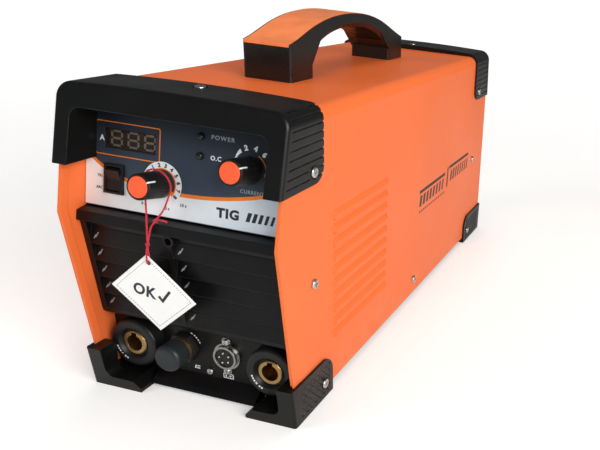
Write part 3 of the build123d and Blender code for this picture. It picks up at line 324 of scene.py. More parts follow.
def lamp_lens():
    """Unlit lamp: dark clouded epoxy."""
    lens = Finish("led_lens", rgb(30, 30, 32), 0.22)
    return lens.vary(400, 0.25).smudge(300, 0.08).grain(900, 0.00001).done()


def circuit_board():
    """Solder mask with tracks and pads."""
    board = Finish("circuit_board", rgb(14, 74, 42), 0.35)
    tracks = board.add("TexBrick", Vector=board.place, Scale=90.0, Mortar_Size=0.06).outputs["Fac"]
    board.colour = board.mix(tracks, board.colour, rgb(32, 118, 66))
    pads = board.add("TexVoronoi", {"feature": "F1"}, Vector=board.place, Scale=260.0)
    dots = board.remap(pads.outputs["Distance"], 0.16, 0.12)
    board.colour = board.mix(dots, board.colour, rgb(196, 190, 170))
    return board.bump(tracks, 0.00005).done()


def plated(name, colour, rough, scratch=1.0):
    """Plated or bare metal with fine handling scratches."""
    metal = Finish(name, colour, rough, metal=1.0)
    metal.vary(180, 0.08).smudge(260, 0.09, detail=5).soften(0.0003)
    metal.bump(metal.noise(500, 6, stretch=(1, 7, 1)), 0.000012 * scratch)
    return metal.done()


def turned_brass():
    """Brass turned on a lathe: rings round the axes of both sockets."""
    brass = Finish("brass", rgb(188, 156, 104), 0.33, metal=1.0)
    low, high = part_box("positive_socket_insert")
    middle = (low + high) / 2
    across = brass.math("SUBTRACT", brass.math("ABSOLUTE", brass.axis("X")), middle.x)
    up = brass.math("SUBTRACT", brass.axis("Z"), middle.z)
    squares = brass.math("ADD", brass.math("MULTIPLY", across, across),
                         brass.math("MULTIPLY", up, up))
    rings = brass.math("SINE", brass.math("MULTIPLY", brass.math("SQRT", squares), 16000.0))
    brass.vary(120, 0.12).smudge(90, 0.08, detail=4).soften(0.0003)
    return brass.bump(rings, 0.000008).done()


def outlet_metal():
    """Blackened gas outlet, its collar behind the cap left bare."""
    fitting = Finish("outlet_metal", rgb(34, 32, 29), 0.42)
    collar = fitting.math("LESS_THAN", fitting.axis("Y"), WALL_Y - 5.2 * MM)
    fitting.colour = fitting.mix(collar, fitting.colour, rgb(166, 132, 84))
    fitting.put("Metallic", fitting.remap(collar, 0, 1, 0.2, 0.9))
    fitting.vary(140, 0.12).smudge(120, 0.08, detail=4).soften(0.0003).grain(900, 0.00002)
    return fitting.done()


def brushed_fins():
    """Extruded aluminium, its grain along the fins."""
    metal = Finish("aluminium_fin", rgb(200, 202, 204), 0.38, metal=1.0)
    metal.vary(50, 0.05).smudge(60, 0.08)
    return metal.bump(metal.noise(900, 4, stretch=(1, 0.03, 1)), 0.00002).done()


def windings():
    """Enamelled copper wire, turn beside turn."""
    wire = Finish("copper", rgb(188, 104, 62), 0.32, metal=1.0)
    turns = wire.math("SINE", wire.math("MULTIPLY", wire.axis("Z"), 3200.0))
    wire.vary(140, 0.12).smudge(120, 0.08)
    return wire.bump(turns, 0.0002).done()


def capacitor_sleeve():
    """Dark sleeve with a pale stripe, bare aluminium on the can's top."""
    low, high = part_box("bulk_capacitors")
    can = Finish("capacitor_sleeve", rgb(24, 26, 58), 0.4)
    top = can.math("GREATER_THAN", can.axis("Z"), high.z - 0.0006)
    stripe = can.math("LESS_THAN", can.axis("Y"), low.y + 0.002)
    can.colour = can.mix(stripe, can.colour, rgb(190, 190, 196))
    can.colour = can.mix(top, can.colour, rgb(200, 200, 204))
    return can.vary(90, 0.07).smudge(80, 0.06).grain(700, 0.00001).done()


def rubber(name, colour):
    """Extruded rubber or hose: fine lengthwise lines and a dull bloom."""
    jacket = Finish(name, colour, 0.55)
    jacket.vary(45, 0.14).smudge(70, 0.10, detail=4)
    return jacket.bump(jacket.noise(1400, 3, stretch=(1, 0.05, 1)), 0.00004).done()


def card():
    """Coated card: fibres under a slight sheen."""
    paper = Finish("tag_card", rgb(254, 254, 253), 0.5)
    paper.vary(35, 0.012).vary(1500, 0.02, detail=5).smudge(60, 0.07)
    return paper.grain(1300, 0.00003, detail=5).done()


def cotton():
    """Red cotton string: fibres along each ply."""
    yarn = Finish("string_red", rgb(208, 30, 54), 0.8)
    yarn.vary(900, 0.22, detail=4).vary(160, 0.10)
    yarn.grain(3800, 0.00012, detail=4)
    yarn.put("Sheen Weight", 0.25)
    return yarn.done()


MOULDED = {
    "knob_black": (rgb(20, 21, 22), 0.46), "knob_cap": (rgb(250, 96, 54), 0.46),
    "switch_black": (rgb(20, 20, 21), 0.34), "rocker_red": (rgb(176, 26, 22), 0.3),
    "socket_black": (rgb(21, 22, 23), 0.40), "cap_grey": (rgb(36, 42, 45), 0.42),
    "connector_insert": (rgb(30, 29, 28), 0.5), "fan_plastic": (rgb(26, 26, 27), 0.48),
    "module_epoxy": (rgb(32, 32, 34), 0.6), "handle_black": (rgb(24, 23, 23), 0.27),
    "pad_orange": (PAD_ORANGE, 0.36), "ferrite": (rgb(64, 64, 68), 0.7),
}
PLATED = {
    "zinc_screw": (rgb(206, 208, 206), 0.28), "pot_metal": (rgb(190, 190, 186), 0.35),
    "connector_chrome": (rgb(168, 168, 166), 0.26), "pin_silver": (rgb(226, 224, 216), 0.2),
    "valve_body": (rgb(186, 186, 184), 0.35),
}
OTHERS = {
    "cover_paint": powder_coat, "guard_plastic": guard_plastic, "fascia_plastic": fascia_plastic,
    "panel_print": panel_print, "window": window_pane, "segments": segments, "led_lens": lamp_lens,
    "circuit_board": circuit_board, "tray_steel": tray_steel, "brass": turned_brass,
    "outlet_metal": outlet_metal, "aluminium_fin": brushed_fins, "copper": windings,
    "capacitor_sleeve": capacitor_sleeve, "tag_card": card, "string_red": cotton,
    "cable_rubber": lambda: rubber("cable_rubber", rgb(28, 28, 28)),
    "hose_blue": lambda: rubber("hose_blue", rgb(42, 88, 158)),
}


def make_finishes():
    """Every finish, by the name of its material slot."""
    finishes = {slot: moulded(slot, *values) for slot, values in MOULDED.items()}
    finishes.update({slot: plated(slot, *values) for slot, values in PLATED.items()})
    finishes.update({slot: make() for slot, make in OTHERS.items()})
    return finishes


FINISHES = make_finishes()


def dress_cad_nodes():
    for subpart in frame["record"]["subparts"]:
        mesh = NODES[subpart["node"]].data
        mesh.materials.clear()
        mesh.materials.append(FINISHES[subpart["material_slot"]])


# ---------------------------------------------------------------- printed shapes
def to_mesh(data):
    """The mesh of a curve or a text, closed and clean."""
    carrier = bpy.data.objects.new("carrier", data)
    bpy.context.scene.collection.objects.link(carrier)
    graph = bpy.context.evaluated_depsgraph_get()
    mesh = bpy.data.meshes.new_from_object(carrier.evaluated_get(graph))
    bpy.data.objects.remove(carrier)
    return mesh


def filled(*loops, lift=0.0):
    """A flat printed shape. Later loops inside the first are holes."""
    curve = bpy.data.curves.new("outline", "CURVE")
    curve.dimensions = "2D"
    curve.fill_mode = "BOTH"
    curve.extrude = INK / 2
    for loop in loops:
        spline = curve.splines.new("POLY")
        spline.points.add(len(loop) - 1)
        for point, (x, y) in zip(spline.points, loop):
            point.co = (x, y, 0, 1)
        spline.use_cyclic_u = True
    mesh = to_mesh(curve)
    mesh.transform(Matrix.Translation((0, 0, lift + INK / 2)))
    return mesh


def words(text, tall, x, y, lift=0.0, turn=0.0, bold=0.0, wide=1.0, spacing=1.0):
    """Printed lettering, tall millimetres high, its middle at x and y."""
    font = bpy.data.curves.new("words", "FONT")
    font.body = text
    font.size = tall / 0.72
    font.offset = bold
    font.extrude = INK / 2
    font.resolution_u = 3
    font.space_character = spacing
    font.align_x = "CENTER"
    mesh = to_mesh(font)
    mesh.transform(Matrix.Translation((0, -tall / 2, 0)))
    mesh.transform(Matrix.Diagonal((wide, 1, 1, 1)))
    mesh.transform(Matrix.Rotation(math.radians(turn), 4, "Z"))
    mesh.transform(Matrix.Translation((x, y, lift + INK / 2)))
    return mesh


def ring_point(centre, radius, degrees):
    angle = math.radians(degrees)
    return (centre[0] + radius * math.cos(angle), centre[1] + radius * math.sin(angle))


def arc(centre, inner, outer, start, end, steps=40):
    """The loop of a ring segment. Outer may be a pair of radii, at the start and at the end."""
    first, last = outer if isinstance(outer, tuple) else (outer, outer)
    angles = [start + (end - start) * k / steps for k in range(steps + 1)]
    far = [ring_point(centre, first + (last - first) * k / steps, a) for k, a in enumerate(angles)]
    near = [ring_point(centre, inner, a) for a in reversed(angles)]
    return far + near


def circle(centre, radius, steps=36):
    return [ring_point(centre, radius, 360 * k / steps) for k in range(steps)]


def rounded(x0, x1, y0, y1, radius, steps=5):
    """The loop of a rectangle with rounded corners."""
    corners = ((x1 - radius, y1 - radius, 0), (x0 + radius, y1 - radius, 90),
               (x0 + radius, y0 + radius, 180), (x1 - radius, y0 + radius, 270))
    return [ring_point((x, y), radius, turn + 90 * k / steps)
            for x, y, turn in corners for k in range(steps + 1)]


def bar(x, y, wide, tall, slant=0.0):
    """The loop of one upright bar, leaning right by slant."""
    return [(x, y), (x + wide, y), (x + wide + slant, y + tall), (x + slant, y + tall)]


def new_piece(name, bm, finish, body=MACHINE):
    mesh = bpy.data.meshes.new(name)
    bm.to_mesh(mesh)
    bm.free()
    mesh.materials.append(FINISHES[finish] if isinstance(finish, str) else finish)
    piece = bpy.data.objects.new(name, mesh)
    bpy.context.scene.collection.objects.link(piece)
    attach(piece, body)
    return piece


def printed(name, shapes, place, finish, body=MACHINE, bend=None):
    """Joins flat printed shapes into one piece on a face."""
    bm = bmesh.new()
    for mesh in shapes:
        bm.from_mesh(mesh)
        bpy.data.meshes.remove(mesh)
    bmesh.ops.remove_doubles(bm, verts=bm.verts, dist=1e-4)
    bmesh.ops.transform(bm, matrix=place, verts=bm.verts)
    if bend is not None:
        for vert in bm.verts:
            vert.co = bend(vert.co)
    return new_piece(name, bm, finish, body)


def catmull(points, steps):
    """A smooth line through points."""
    line = []
    ends = [2 * points[0] - points[1]] + list(points) + [2 * points[-1] - points[-2]]
    for a, b, c, d in zip(ends, ends[1:], ends[2:], ends[3:]):
        for k in range(steps):
            t = k / steps
            line.append(0.5 * (2 * b + (c - a) * t + (2 * a - 5 * b + 4 * c - d) * t ** 2
                               + (3 * b - a - 3 * c + d) * t ** 3))
    return line + [points[-1]]


# ---------------------------------------------------------------- control panel print
def swoosh():
    """The upper edge of the white band, left to right."""
    points = [(-PANEL_HALF, 36.4), (-66.0, 26.6), (-50.0, 20.6), (-30.0, 17.0), (-5.0, 16.2),
              (20.0, 17.6), (45.0, 21.6), (62.0, 26.2), (PANEL_HALF, 33.0)]
    line = catmull([Vector((x, y, 0)) for x, y in points], 8)
    return [(point.x, point.y) for point in line]


def between(line, x0, x1):
    """The part of a left-to-right line from x0 to x1."""
    def at(x):
        for (xa, ya), (xb, yb) in zip(line, line[1:]):
            if xa <= x <= xb:
                return (x, ya + (yb - ya) * (x - xa) / (xb - xa))
    return [at(x0)] + [point for point in line if x0 < point[0] < x1] + [at(x1)]


def beside_switch(edge):
    """The band's upper edge, left and right of the mode switch."""
    left, right = SWITCH_SIDES
    return between(edge, edge[0][0], left), between(edge, right, edge[-1][0])


def print_band(edge):
    """The white band at the panel's foot, with a notch for the mode switch."""
    left, right = beside_switch(edge)
    notch = [(x, SWITCH_FOOT) for x in SWITCH_SIDES]
    outline = [(-PANEL_HALF, 0.4), (PANEL_HALF, 0.4)] + (left + notch + right)[::-1]
    printed("panel_band", [filled(outline)], PANEL, band_ink())


def print_orange(edge, orange_ink):
    """Stripe over the band, frame round the display, and the arcs round both knobs."""
    parts = beside_switch(edge)
    stripes = [[(x, y + STRIPE_TALL) for x, y in part] + part[::-1] for part in parts]
    frame_outside = rounded(-73.4, -22.4, 36.9, 60.6, 1.6)
    frame_inside = rounded(-72.7, -23.1, 37.6, 59.9, 1.1)
    shapes = [filled(stripes[0], lift=INK), filled(stripes[1], lift=INK),
              filled(frame_outside, frame_inside, lift=INK),
              filled(arc(RIGHT_KNOB, 11.2, 11.9, -12, 62, 24), lift=INK),
              filled(circle(ring_point(RIGHT_KNOB, 12.0, -10), 1.6, 20), lift=INK),
              filled(arc(LEFT_KNOB, 10.2, 11.1, -45, 110, 30), lift=3 * INK)]
    printed("panel_orange_print", shapes, PANEL, orange_ink)


def print_white(white_ink):
    """Ring round the left knob, marks round the right one, and the display's unit."""
    shapes = [filled(arc(LEFT_KNOB, 11.0, 15.4, -48, 158, 60), lift=2 * INK),
              filled(arc(RIGHT_KNOB, 13.0, (13.4, 15.8), 154, 122, 12)),
              words("A", 3.8, -68.4, 48.6, bold=0.16),
              words("O.C", 3.1, 20.4, 46.6, bold=0.1, spacing=1.15)]
    for k, label in enumerate(("2", "4", "6", "8", "10")):
        angle = 106 - k * 28
        x, y = ring_point(RIGHT_KNOB, 15.2, angle)
        shapes.append(words(label, 3.5, x, y, turn=angle - 90, bold=0.3))
    printed("panel_white_print", shapes, PANEL, white_ink)


def print_grey(grey_ink):
    """Small grey words by the power lamp and under the right knob."""
    shapes = [words("POWER", 2.9, 25.0, 60.6, bold=0.08, spacing=1.25, wide=1.1),
              words("CURRENT", 2.6, 48.6, 27.6, bold=0.05, spacing=1.15)]
    printed("panel_grey_print", shapes, PANEL, grey_ink)


def print_dark(dark_ink):
    """The large word on the band, the left dial's numbers and the small words."""
    shapes = [words("TIG", 6.4, 31.5, 10.4, bold=0.44, spacing=1.12, wide=1.12, lift=INK)]
    for k in range(7):
        shapes.append(filled(bar(45.0 + k * 4.6, 7.2, 3.0 - k * 0.24, 6.4, 1.8), lift=INK))
    for k in range(9):
        angle = 148 - k * 23
        x, y = ring_point(LEFT_KNOB, 13.2, angle)
        shapes.append(words(str(k), 2.8, x, y, turn=angle - 90, bold=0.2, lift=3 * INK))
    shapes += [words("TIG", 1.9, -69.6, 21.8, lift=INK, bold=0.08),
               words("ARC", 1.9, -69.8, 13.4, lift=INK, bold=0.08),
               words("0 s", 2.2, -34.0, 7.4, lift=INK, bold=0.08),
               words("5 s", 2.2, -15.2, 6.6, lift=INK, bold=0.08),
               words("10 s", 2.3, -3.0, 10.6, lift=INK, bold=0.08)]
    printed("panel_dark_print", shapes, PANEL, dark_ink)


def print_panel(inks):
    edge = swoosh()
    print_band(edge)
    print_orange(edge, inks["orange_ink"])
    print_white(inks["white_ink"])
    print_grey(inks["grey_ink"])
    print_dark(inks["dark_ink"])


def pointer(name, knob, body, white):
    """The white pointer of a knob: a line on its side that turns over its front edge."""
    joint = JOINTS[knob]
    face = plane(Vector(joint["pos_m"]), (1, 0, 0), joint["axis"])
    turn = face @ Matrix.Rotation(math.radians(28), 4, "Z")
    bm = bmesh.new()
    profile = [(9.30, 16.5), (9.02, 21.5), (8.72, 22.30), (8.2, 22.52), (7.7, 22.52)]
    half, thick = 0.5, 0.12
    rows = []
    for k, (radius, out) in enumerate(profile):
        nearer = profile[max(k - 1, 0)]
        further = profile[min(k + 1, len(profile) - 1)]
        along = Vector((further[0] - nearer[0], further[1] - nearer[1])).normalized()
        normal = Vector((along.y, -along.x))
        outer = (radius + normal.x * thick, out + normal.y * thick)
        inner = (radius - normal.x * thick, out - normal.y * thick)
        rows.append([bm.verts.new((r, side, o)) for (r, o), side in
                     ((outer, -half), (outer, half), (inner, half), (inner, -half))])
    for a, b in zip(rows, rows[1:]):
        for k in range(4):
            bm.faces.new((a[k], a[(k + 1) % 4], b[(k + 1) % 4], b[k]))
    bm.faces.new(rows[0])
    bm.faces.new(rows[-1][::-1])
    bmesh.ops.recalc_face_normals(bm, faces=bm.faces)
    bmesh.ops.transform(bm, matrix=turn, verts=bm.verts)
    return new_piece(name, bm, white, body)


# ----------------------------------------------------------- marks on the socket wall and the sides
def print_sockets(white):
    # Moulded lettering and signs on each socket's collar: the lettering is real, but its white is painted
    # highlight, for the glints it catches.
    for name, sign in (("positive", "+"), ("negative", "-")):
        low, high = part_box(f"{name}_socket_body")
        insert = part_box(f"{name}_socket_insert")
        middle = (insert[0] + insert[1]) / 2
        face = plane(Vector((middle.x, low.y - 0.00001, middle.z)), (1, 0, 0), (0, -1, 0))
        shapes = [filled(arc((0, 0), 14.2, 15.6, a, a + 5.5, 4)) for a in (196, 204, 212, 234, 242)]
        x, y = ring_point((0, 0), 15.0, 225)
        shapes.append(words(sign, 3.6, x, y + (1.0 if sign == "-" else 0.4), bold=0.1))
        printed(f"{name}_socket_lettering_glint", shapes, face, white)


def print_wall(white):
    """Small symbols under the gas outlet and the torch connector, and ticks round the outlet."""
    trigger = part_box("trigger_socket_shell")
    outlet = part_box("gas_outlet_cap")
    x, y = (trigger[0].x + trigger[1].x) / 2 / MM - 0.6, 15.2
    shapes = [filled(rounded(x - 4.4, x + 4.4, y - 2.2, y + 2.2, 0.8),
                     rounded(x - 3.6, x + 3.6, y - 1.5, y + 1.5, 0.5)),
              filled(bar(x - 2.6, y - 0.9, 1.2, 1.8)),
              filled(bar(x + 0.2, y - 0.3, 2.6, 0.6)),
              filled(bar(x + 1.2, y - 1.1, 0.6, 2.2))]
    centre = ((outlet[0].x + outlet[1].x) / 2 / MM, (outlet[0].z + outlet[1].z) / 2 / MM)
    x, y = centre[0] + 9.0, 17.4
    shapes += [filled(bar(x - 2.2, y - 1.4, 1.3, 2.8, 0.6)),
               filled(bar(x - 0.2, y - 1.4, 2.6, 1.0)),
               filled(bar(x + 0.2, y + 0.5, 2.4, 0.9))]
    shapes += [filled(arc(centre, 13.8, 14.6, a, a + 6, 4)) for a in (22, 31, 40, 49, 60)]
    printed("wall_symbols", shapes, plane(Vector((0, WALL_Y, 0)), (1, 0, 0), (0, -1, 0)), white)


SLAT_FIRST = 15.55                  # middle of the first slat, below the grille's top
SLAT_PITCH = 13.9
SLAT_TALL = 11.9
SLAT_RISE = 3.9                     # how far a slat's lower edge stands out beyond its upper edge
SLAT_SUNK = 2.25                    # how far a slat's middle lies behind the grille's face
COLUMNS = (-75.0, -6.4)             # where the painted glints of both columns start, across the front


def slat_marks(grey):
    """Painted glints: slanted pale ticks at the left end of every slat, in both columns, for the light caught on
    the slat ends.
    """
    grille_up = GRILLE_OUT.cross(Vector((1, 0, 0)))
    slat_out = grille_up * SLAT_RISE + GRILLE_OUT * SLAT_TALL
    meshes = []
    for row in range(5):
        down = SLAT_FIRST + row * SLAT_PITCH
        middle = GRILLE_TOP - (grille_up * down + GRILLE_OUT * SLAT_SUNK) * MM
        face = plane(middle, (1, 0, 0), slat_out)
        for x in COLUMNS:
            for k, (tall, low) in enumerate(((2.8, -2.6), (3.9, -1.6))):
                # each tick is a painted glint on the end of a slat
                tick = filled(bar(x + k * 1.4, low, 0.85, tall, tall * 0.5), lift=0.02)
                tick.transform(Matrix.Scale(1 / MM, 4) @ face)
                meshes.append(tick)
    printed("slat_marks", meshes, Matrix.Scale(MM, 4), grey)


def print_sides(dark):
    """A plain pattern of slanted bars with a ruled line below, on both sides of the cover."""
    for name, side in (("right", 1), ("left", -1)):
        face = plane(Vector((side * SIDE_X, 92 * MM, 104 * MM)), (0, side, 0), (side, 0, 0))
        shapes = [filled(bar(-78, 5.6, 76, 3.4, 0)), filled(bar(12, 9.4, 70, 3.4, 0)),
                  filled(bar(4, -10.0, 3.6, 22.8, 2.0))]
        for k in range(8):
            shapes.append(filled(bar(-78 + k * 9.4, -8.0, 5.6 - k * 0.2, 11.0, 2.6)))
            shapes.append(filled(bar(16 + k * 8.4, -6.0, 4.6 - k * 0.2, 12.4, 2.6)))
        shapes += [filled(bar(-78 + k * 5.6, -14.6, 3.4, 1.7, 0.4)) for k in range(14)]
        printed(f"side_bars_{name}", shapes, face, dark)


# ---------------------------------------------------------------- tag and string
def furthest(node, direction):
    """The vertex of a CAD node that lies furthest in a direction."""
    way = Vector(direction)
    corners = (vertex.co for vertex in NODES[node].data.vertices)
    return max(corners, key=lambda co: co.dot(way)).copy()


TAG_LOW, TAG_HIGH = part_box("hang_tag")
TAG_Y = (TAG_LOW.y + TAG_HIGH.y) / 2
TAG_CORNERS = [furthest("hang_tag", way) for way in ((0, 0, 1), (1, 0, 0), (0, 0, -1), (-1, 0, 0))]
TAG_HOLE = Vector((-0.022, TAG_Y, 0.114))
TAG_HOLE_R = 0.0017
TAG_T = 0.00035
TAG_CURL = 0.0016


def curl(point):
    """Bends the tag's plane a little: its side corners come forward."""
    left, right = TAG_CORNERS[3], TAG_CORNERS[1]
    middle, half = (left.x + right.x) / 2, (right.x - left.x) / 2
    across = (point.x - middle) / half
    down = (TAG_CORNERS[0].z - point.z) / (TAG_CORNERS[0].z - TAG_CORNERS[2].z)
    ahead = TAG_CURL * max(0.0, down - 0.12) * (0.35 + across * across) + 0.0006 * down * across
    return Vector((point.x, point.y - ahead, point.z))


def tag_point(u, v):
    """A point of the flat tag: u along its upper right edge, v along its upper left one."""
    top, right, bottom, left = TAG_CORNERS
    return (top * (1 - u) * (1 - v) + right * u * (1 - v) + bottom * u * v + left * (1 - u) * v)


def build_tag(inks):
    """Card tag: curled sheet with a punched hole."""
    wide, tall = 60, 52
    bm = bmesh.new()
    grid = [[bm.verts.new(tag_point(i / wide, j / tall)) for j in range(tall + 1)]
            for i in range(wide + 1)]
    for i in range(wide):
        for j in range(tall):
            corners = (grid[i][j], grid[i + 1][j], grid[i + 1][j + 1], grid[i][j + 1])
            bm.faces.new(corners).smooth = True

    def from_hole(co):
        return math.hypot(co.x - TAG_HOLE.x, co.z - TAG_HOLE.z)
    punched = [face for face in bm.faces if from_hole(face.calc_center_median()) < TAG_HOLE_R]
    bmesh.ops.delete(bm, geom=punched, context="FACES")
    bmesh.ops.delete(bm, geom=[vert for vert in bm.verts if not vert.link_faces], context="VERTS")
    for vert in bm.verts:
        if vert.is_boundary and from_hole(vert.co) < 2 * TAG_HOLE_R:
            way = Vector((vert.co.x - TAG_HOLE.x, 0, vert.co.z - TAG_HOLE.z)).normalized()
            vert.co = Vector((TAG_HOLE.x, vert.co.y, TAG_HOLE.z)) + way * TAG_HOLE_R
    for vert in bm.verts:
        vert.co = curl(Vector((vert.co.x, TAG_Y, vert.co.z)))
    bmesh.ops.solidify(bm, geom=list(bm.faces), thickness=TAG_T)
    bmesh.ops.recalc_face_normals(bm, faces=bm.faces)
    tag = new_piece("printed_tag", bm, "tag_card", "tag")
    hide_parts("hang_tag")
    print_tag(inks)
    return tag


def print_tag(inks):
    """Thin dashed border, a word and a tick."""
    left, right = TAG_CORNERS[3], TAG_CORNERS[1]
    face = plane(Vector((0, TAG_Y, 0)), (1, 0, 0), (0, -1, 0))
    inset = 0.06
    places = ((inset, inset), (1 - inset, inset), (1 - inset, 1 - inset), (inset, 1 - inset))
    corners = [tag_point(u, v) for u, v in places]
    dashes = []
    for a, b in zip(corners, corners[1:] + corners[:1]):
        along = (b - a).normalized()
        side = Vector((-along.z, 0, along.x)) * 0.22 * MM
        count = round((b - a).length / (2.1 * MM))
        for k in range(count):
            p = a + (b - a) * (k / count)
            q = p + along * 1.35 * MM
            dash = (p - side, q - side, q + side, p + side)
            dashes.append(filled([(c.x / MM, c.z / MM) for c in dash]))

    def on_tag(co):
        return curl(co) + Vector((0, -TAG_T - 0.02 * MM, 0))
    printed("tag_border", dashes, face, inks["grey_ink"], "tag", bend=on_tag)
    middle = (left + right) / 2 / MM
    mark = words("OK", 8.4, middle.x - 7.6, middle.z + 1.2, turn=-8, bold=0.36, spacing=1.1)
    tick = [(0.0, 0.4), (1.7, 1.7), (3.6, -0.6), (9.4, 6.9), (11.0, 5.8), (3.8, -3.8)]
    tick = [(middle.x + x + 3.0, middle.z + y - 2.4) for x, y in tick]
    printed("tag_mark", [mark, filled(tick)], face, inks["dark_ink"], "tag", bend=on_tag)


PLY_R = 0.00034
TWIST = 0.0024                      # length of one turn of the string's two plies


def twisted(path):
    """The two plies of a string along a path, as lists of points."""
    plies = ([], [])
    travelled = 0.0
    side = None
    for k, point in enumerate(path):
        ahead = path[min(k + 1, len(path) - 1)] - path[max(k - 1, 0)]
        ahead.normalize()
        if k:
            travelled += (point - path[k - 1]).length
        if side is None:
            side = ahead.orthogonal().normalized()
        side = (side - ahead * side.dot(ahead)).normalized()
        other = ahead.cross(side)
        angle = travelled / TWIST * 2 * math.pi
        for ply, turn in zip(plies, (angle, angle + math.pi)):
            ply.append(point + (side * math.cos(turn) + other * math.sin(turn)) * PLY_R)
    return plies


def resample(points, step):
    """Points at equal steps along a line."""
    line = [points[0].copy()]
    left = step
    for a, b in zip(points, points[1:]):
        length = (b - a).length
        at = 0.0
        while length - at >= left:
            at += left
            line.append(a.lerp(b, at / length))
            left = step
        left -= length - at
    return line


def tube(bm, line, radius, sides=7):
    """A closed round tube along a line."""
    rings = []
    side = None
    for k, point in enumerate(line):
        ahead = (line[min(k + 1, len(line) - 1)] - line[max(k - 1, 0)]).normalized()
        if side is None:
            side = ahead.orthogonal().normalized()
        side = (side - ahead * side.dot(ahead)).normalized()
        other = ahead.cross(side)
        rings.append([bm.verts.new(point + (side * math.cos(t) + other * math.sin(t)) * radius)
                      for t in (2 * math.pi * s / sides for s in range(sides))])
    for a, b in zip(rings, rings[1:]):
        for k in range(sides):
            face = bm.faces.new((a[k], a[(k + 1) % sides], b[(k + 1) % sides], b[k]))
            face.smooth = True
    bm.faces.new(rings[0][::-1])
    bm.faces.new(rings[-1])


def knot_line(centre, radius, turns, tall):
    """A short coil that stands for a knot."""
    count = int(turns * 12)
    return [centre + Vector((radius * math.cos(k * math.pi / 6), radius * math.sin(k * math.pi / 6),
                             tall * (k / count - 0.5))) for k in range(count + 1)]


def build_string():
    """Two-ply string: a loop over the left knob, two knots, and a loop through the tag."""
    pivot = Vector(JOINTS["tag_swing"]["pos_m"])
    low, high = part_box("tag_string")
    loop_r = high.x - pivot.x - 0.0006
    knot = Vector((-0.0212, TAG_Y, 0.128))
    ledge = pivot.y - 0.0101
    loop = [pivot + Vector((loop_r * math.cos(a), 0, loop_r * math.sin(a)))
            for a in (math.radians(200 - 225 * k / 28) for k in range(29))]
    side_knot = Vector((-0.0165, ledge + 0.0014, 0.1446))
    left = [knot, Vector((-0.0225, ledge, 0.1392)), Vector((-0.0262, pivot.y - 0.0048, 0.1510))]
    right = [Vector((-0.0120, pivot.y - 0.0052, 0.1524)), side_knot,
             Vector((-0.0196, ledge, 0.1390)), knot]
    line = catmull(left + loop + right, 6)
    hole = TAG_HOLE
    off = 0.0012
    near, far = Vector((0, -off - 0.0002, 0.0012)), Vector((0, off, 0.0012))
    down = [Vector((hole.x + 0.0004, TAG_Y - 0.0013, 0.1225)), hole + near]
    up = [hole + far, Vector((hole.x - 0.0004, TAG_Y + 0.0011, 0.1225))]
    tail = [knot, *down, hole, *up, knot]
    reach = ((0.0, 0.0, 0.0), (0.0032, -0.0008, 0.0016), (0.0075, -0.0014, 0.0018),
             (0.0105, -0.0012, 0.0014))
    loose = [side_knot + Vector(offset) for offset in reach]
    bm = bmesh.new()
    for points in (line, catmull(tail, 8), catmull(loose, 8)):
        for ply in twisted(resample(points, 0.00028)):
            tube(bm, ply, PLY_R * 1.04)
    for centre in (knot, side_knot):
        for ply in twisted(resample(knot_line(centre, 0.0008, 2.4, 0.0022), 0.00028)):
            tube(bm, ply, PLY_R * 1.04)
    string = new_piece("twisted_string", bm, "string_red", "tag")
    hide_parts("tag_string")
    return string


# ---------------------------------------------------------------- cable end
CORE_OFF = 0.0021                   # distance of a core from the cable's axis
STRAND_OFF = 0.0007                 # distance of a strand from its core's axis


def cable_cores():
    """The three insulated cores that show at the cut end of the mains cable."""
    low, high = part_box("mains_cable")
    middle = (low + high) / 2
    colours = (rgb(120, 70, 40), rgb(40, 70, 160), rgb(60, 140, 60))
    for k, (name, colour) in enumerate(zip(("live", "neutral", "earth"), colours)):
        angle = math.radians(90 + 120 * k)
        centre = Vector((middle.x + CORE_OFF * math.cos(angle), high.y,
                         middle.z + CORE_OFF * math.sin(angle)))
        bm = bmesh.new()
        tube(bm, [centre + Vector((0, y, 0)) for y in (-0.002, 0.0, 0.0010, 0.0012)], 0.0016, 20)
        new_piece(f"{name}_core", bm, moulded(f"{name}_core", colour, 0.45))
        bm = bmesh.new()
        for turn in range(7):
            spin = math.radians(60 * turn)
            off = Vector((math.cos(spin), 0, math.sin(spin))) * (STRAND_OFF if turn < 6 else 0)
            tube(bm, [centre + off + Vector((0, y, 0)) for y in (0.0, 0.0013, 0.0016)], 0.00033, 8)
        new_piece(f"{name}_wire", bm, "copper")


# ---------------------------------------------------------------- studio
def backdrop():
    """Pale paper, a little self-lit to the camera so that it stays even."""
    paper = Finish("floor", rgb(244, 243, 241), 0.85)
    paper.vary(3, 0.008).smudge(5, 0.04)
    paper.put("Specular IOR Level", 0.05)
    paper.put("Emission Color", (1, 1, 1, 1))
    away = paper.add("VectorMath", {"operation": "LENGTH"}, Vector=paper.place).outputs["Value"]
    far = paper.remap(away, 0.5, 2.6, 0.3, 0.9)
    seen = paper.add("LightPath").outputs["Is Camera Ray"]
    paper.put("Emission Strength", paper.math("MULTIPLY", seen, far))
    return paper.done()


def build_floor():
    """A wide pale floor."""
    bm = bmesh.new()
    bmesh.ops.create_circle(bm, cap_ends=True, radius=9.0, segments=96)
    mesh = bpy.data.meshes.new("floor")
    bm.to_mesh(mesh)
    bm.free()
    mesh.materials.append(backdrop())
    floor = bpy.data.objects.new("floor", mesh)
    floor.location.z = -0.0002
    bpy.context.scene.collection.objects.link(floor)


def area_light(name, place, aim, size, watts, colour=(1, 1, 1)):
    light = bpy.data.lights.new(name, "AREA")
    light.shape = "RECTANGLE"
    light.size, light.size_y = size
    light.energy = watts
    light.color = colour
    lamp = bpy.data.objects.new(name, light)
    lamp.location = place
    lamp.rotation_euler = (Vector(aim) - Vector(place)).to_track_quat("-Z", "Y").to_euler()
    bpy.context.scene.collection.objects.link(lamp)
    return lamp


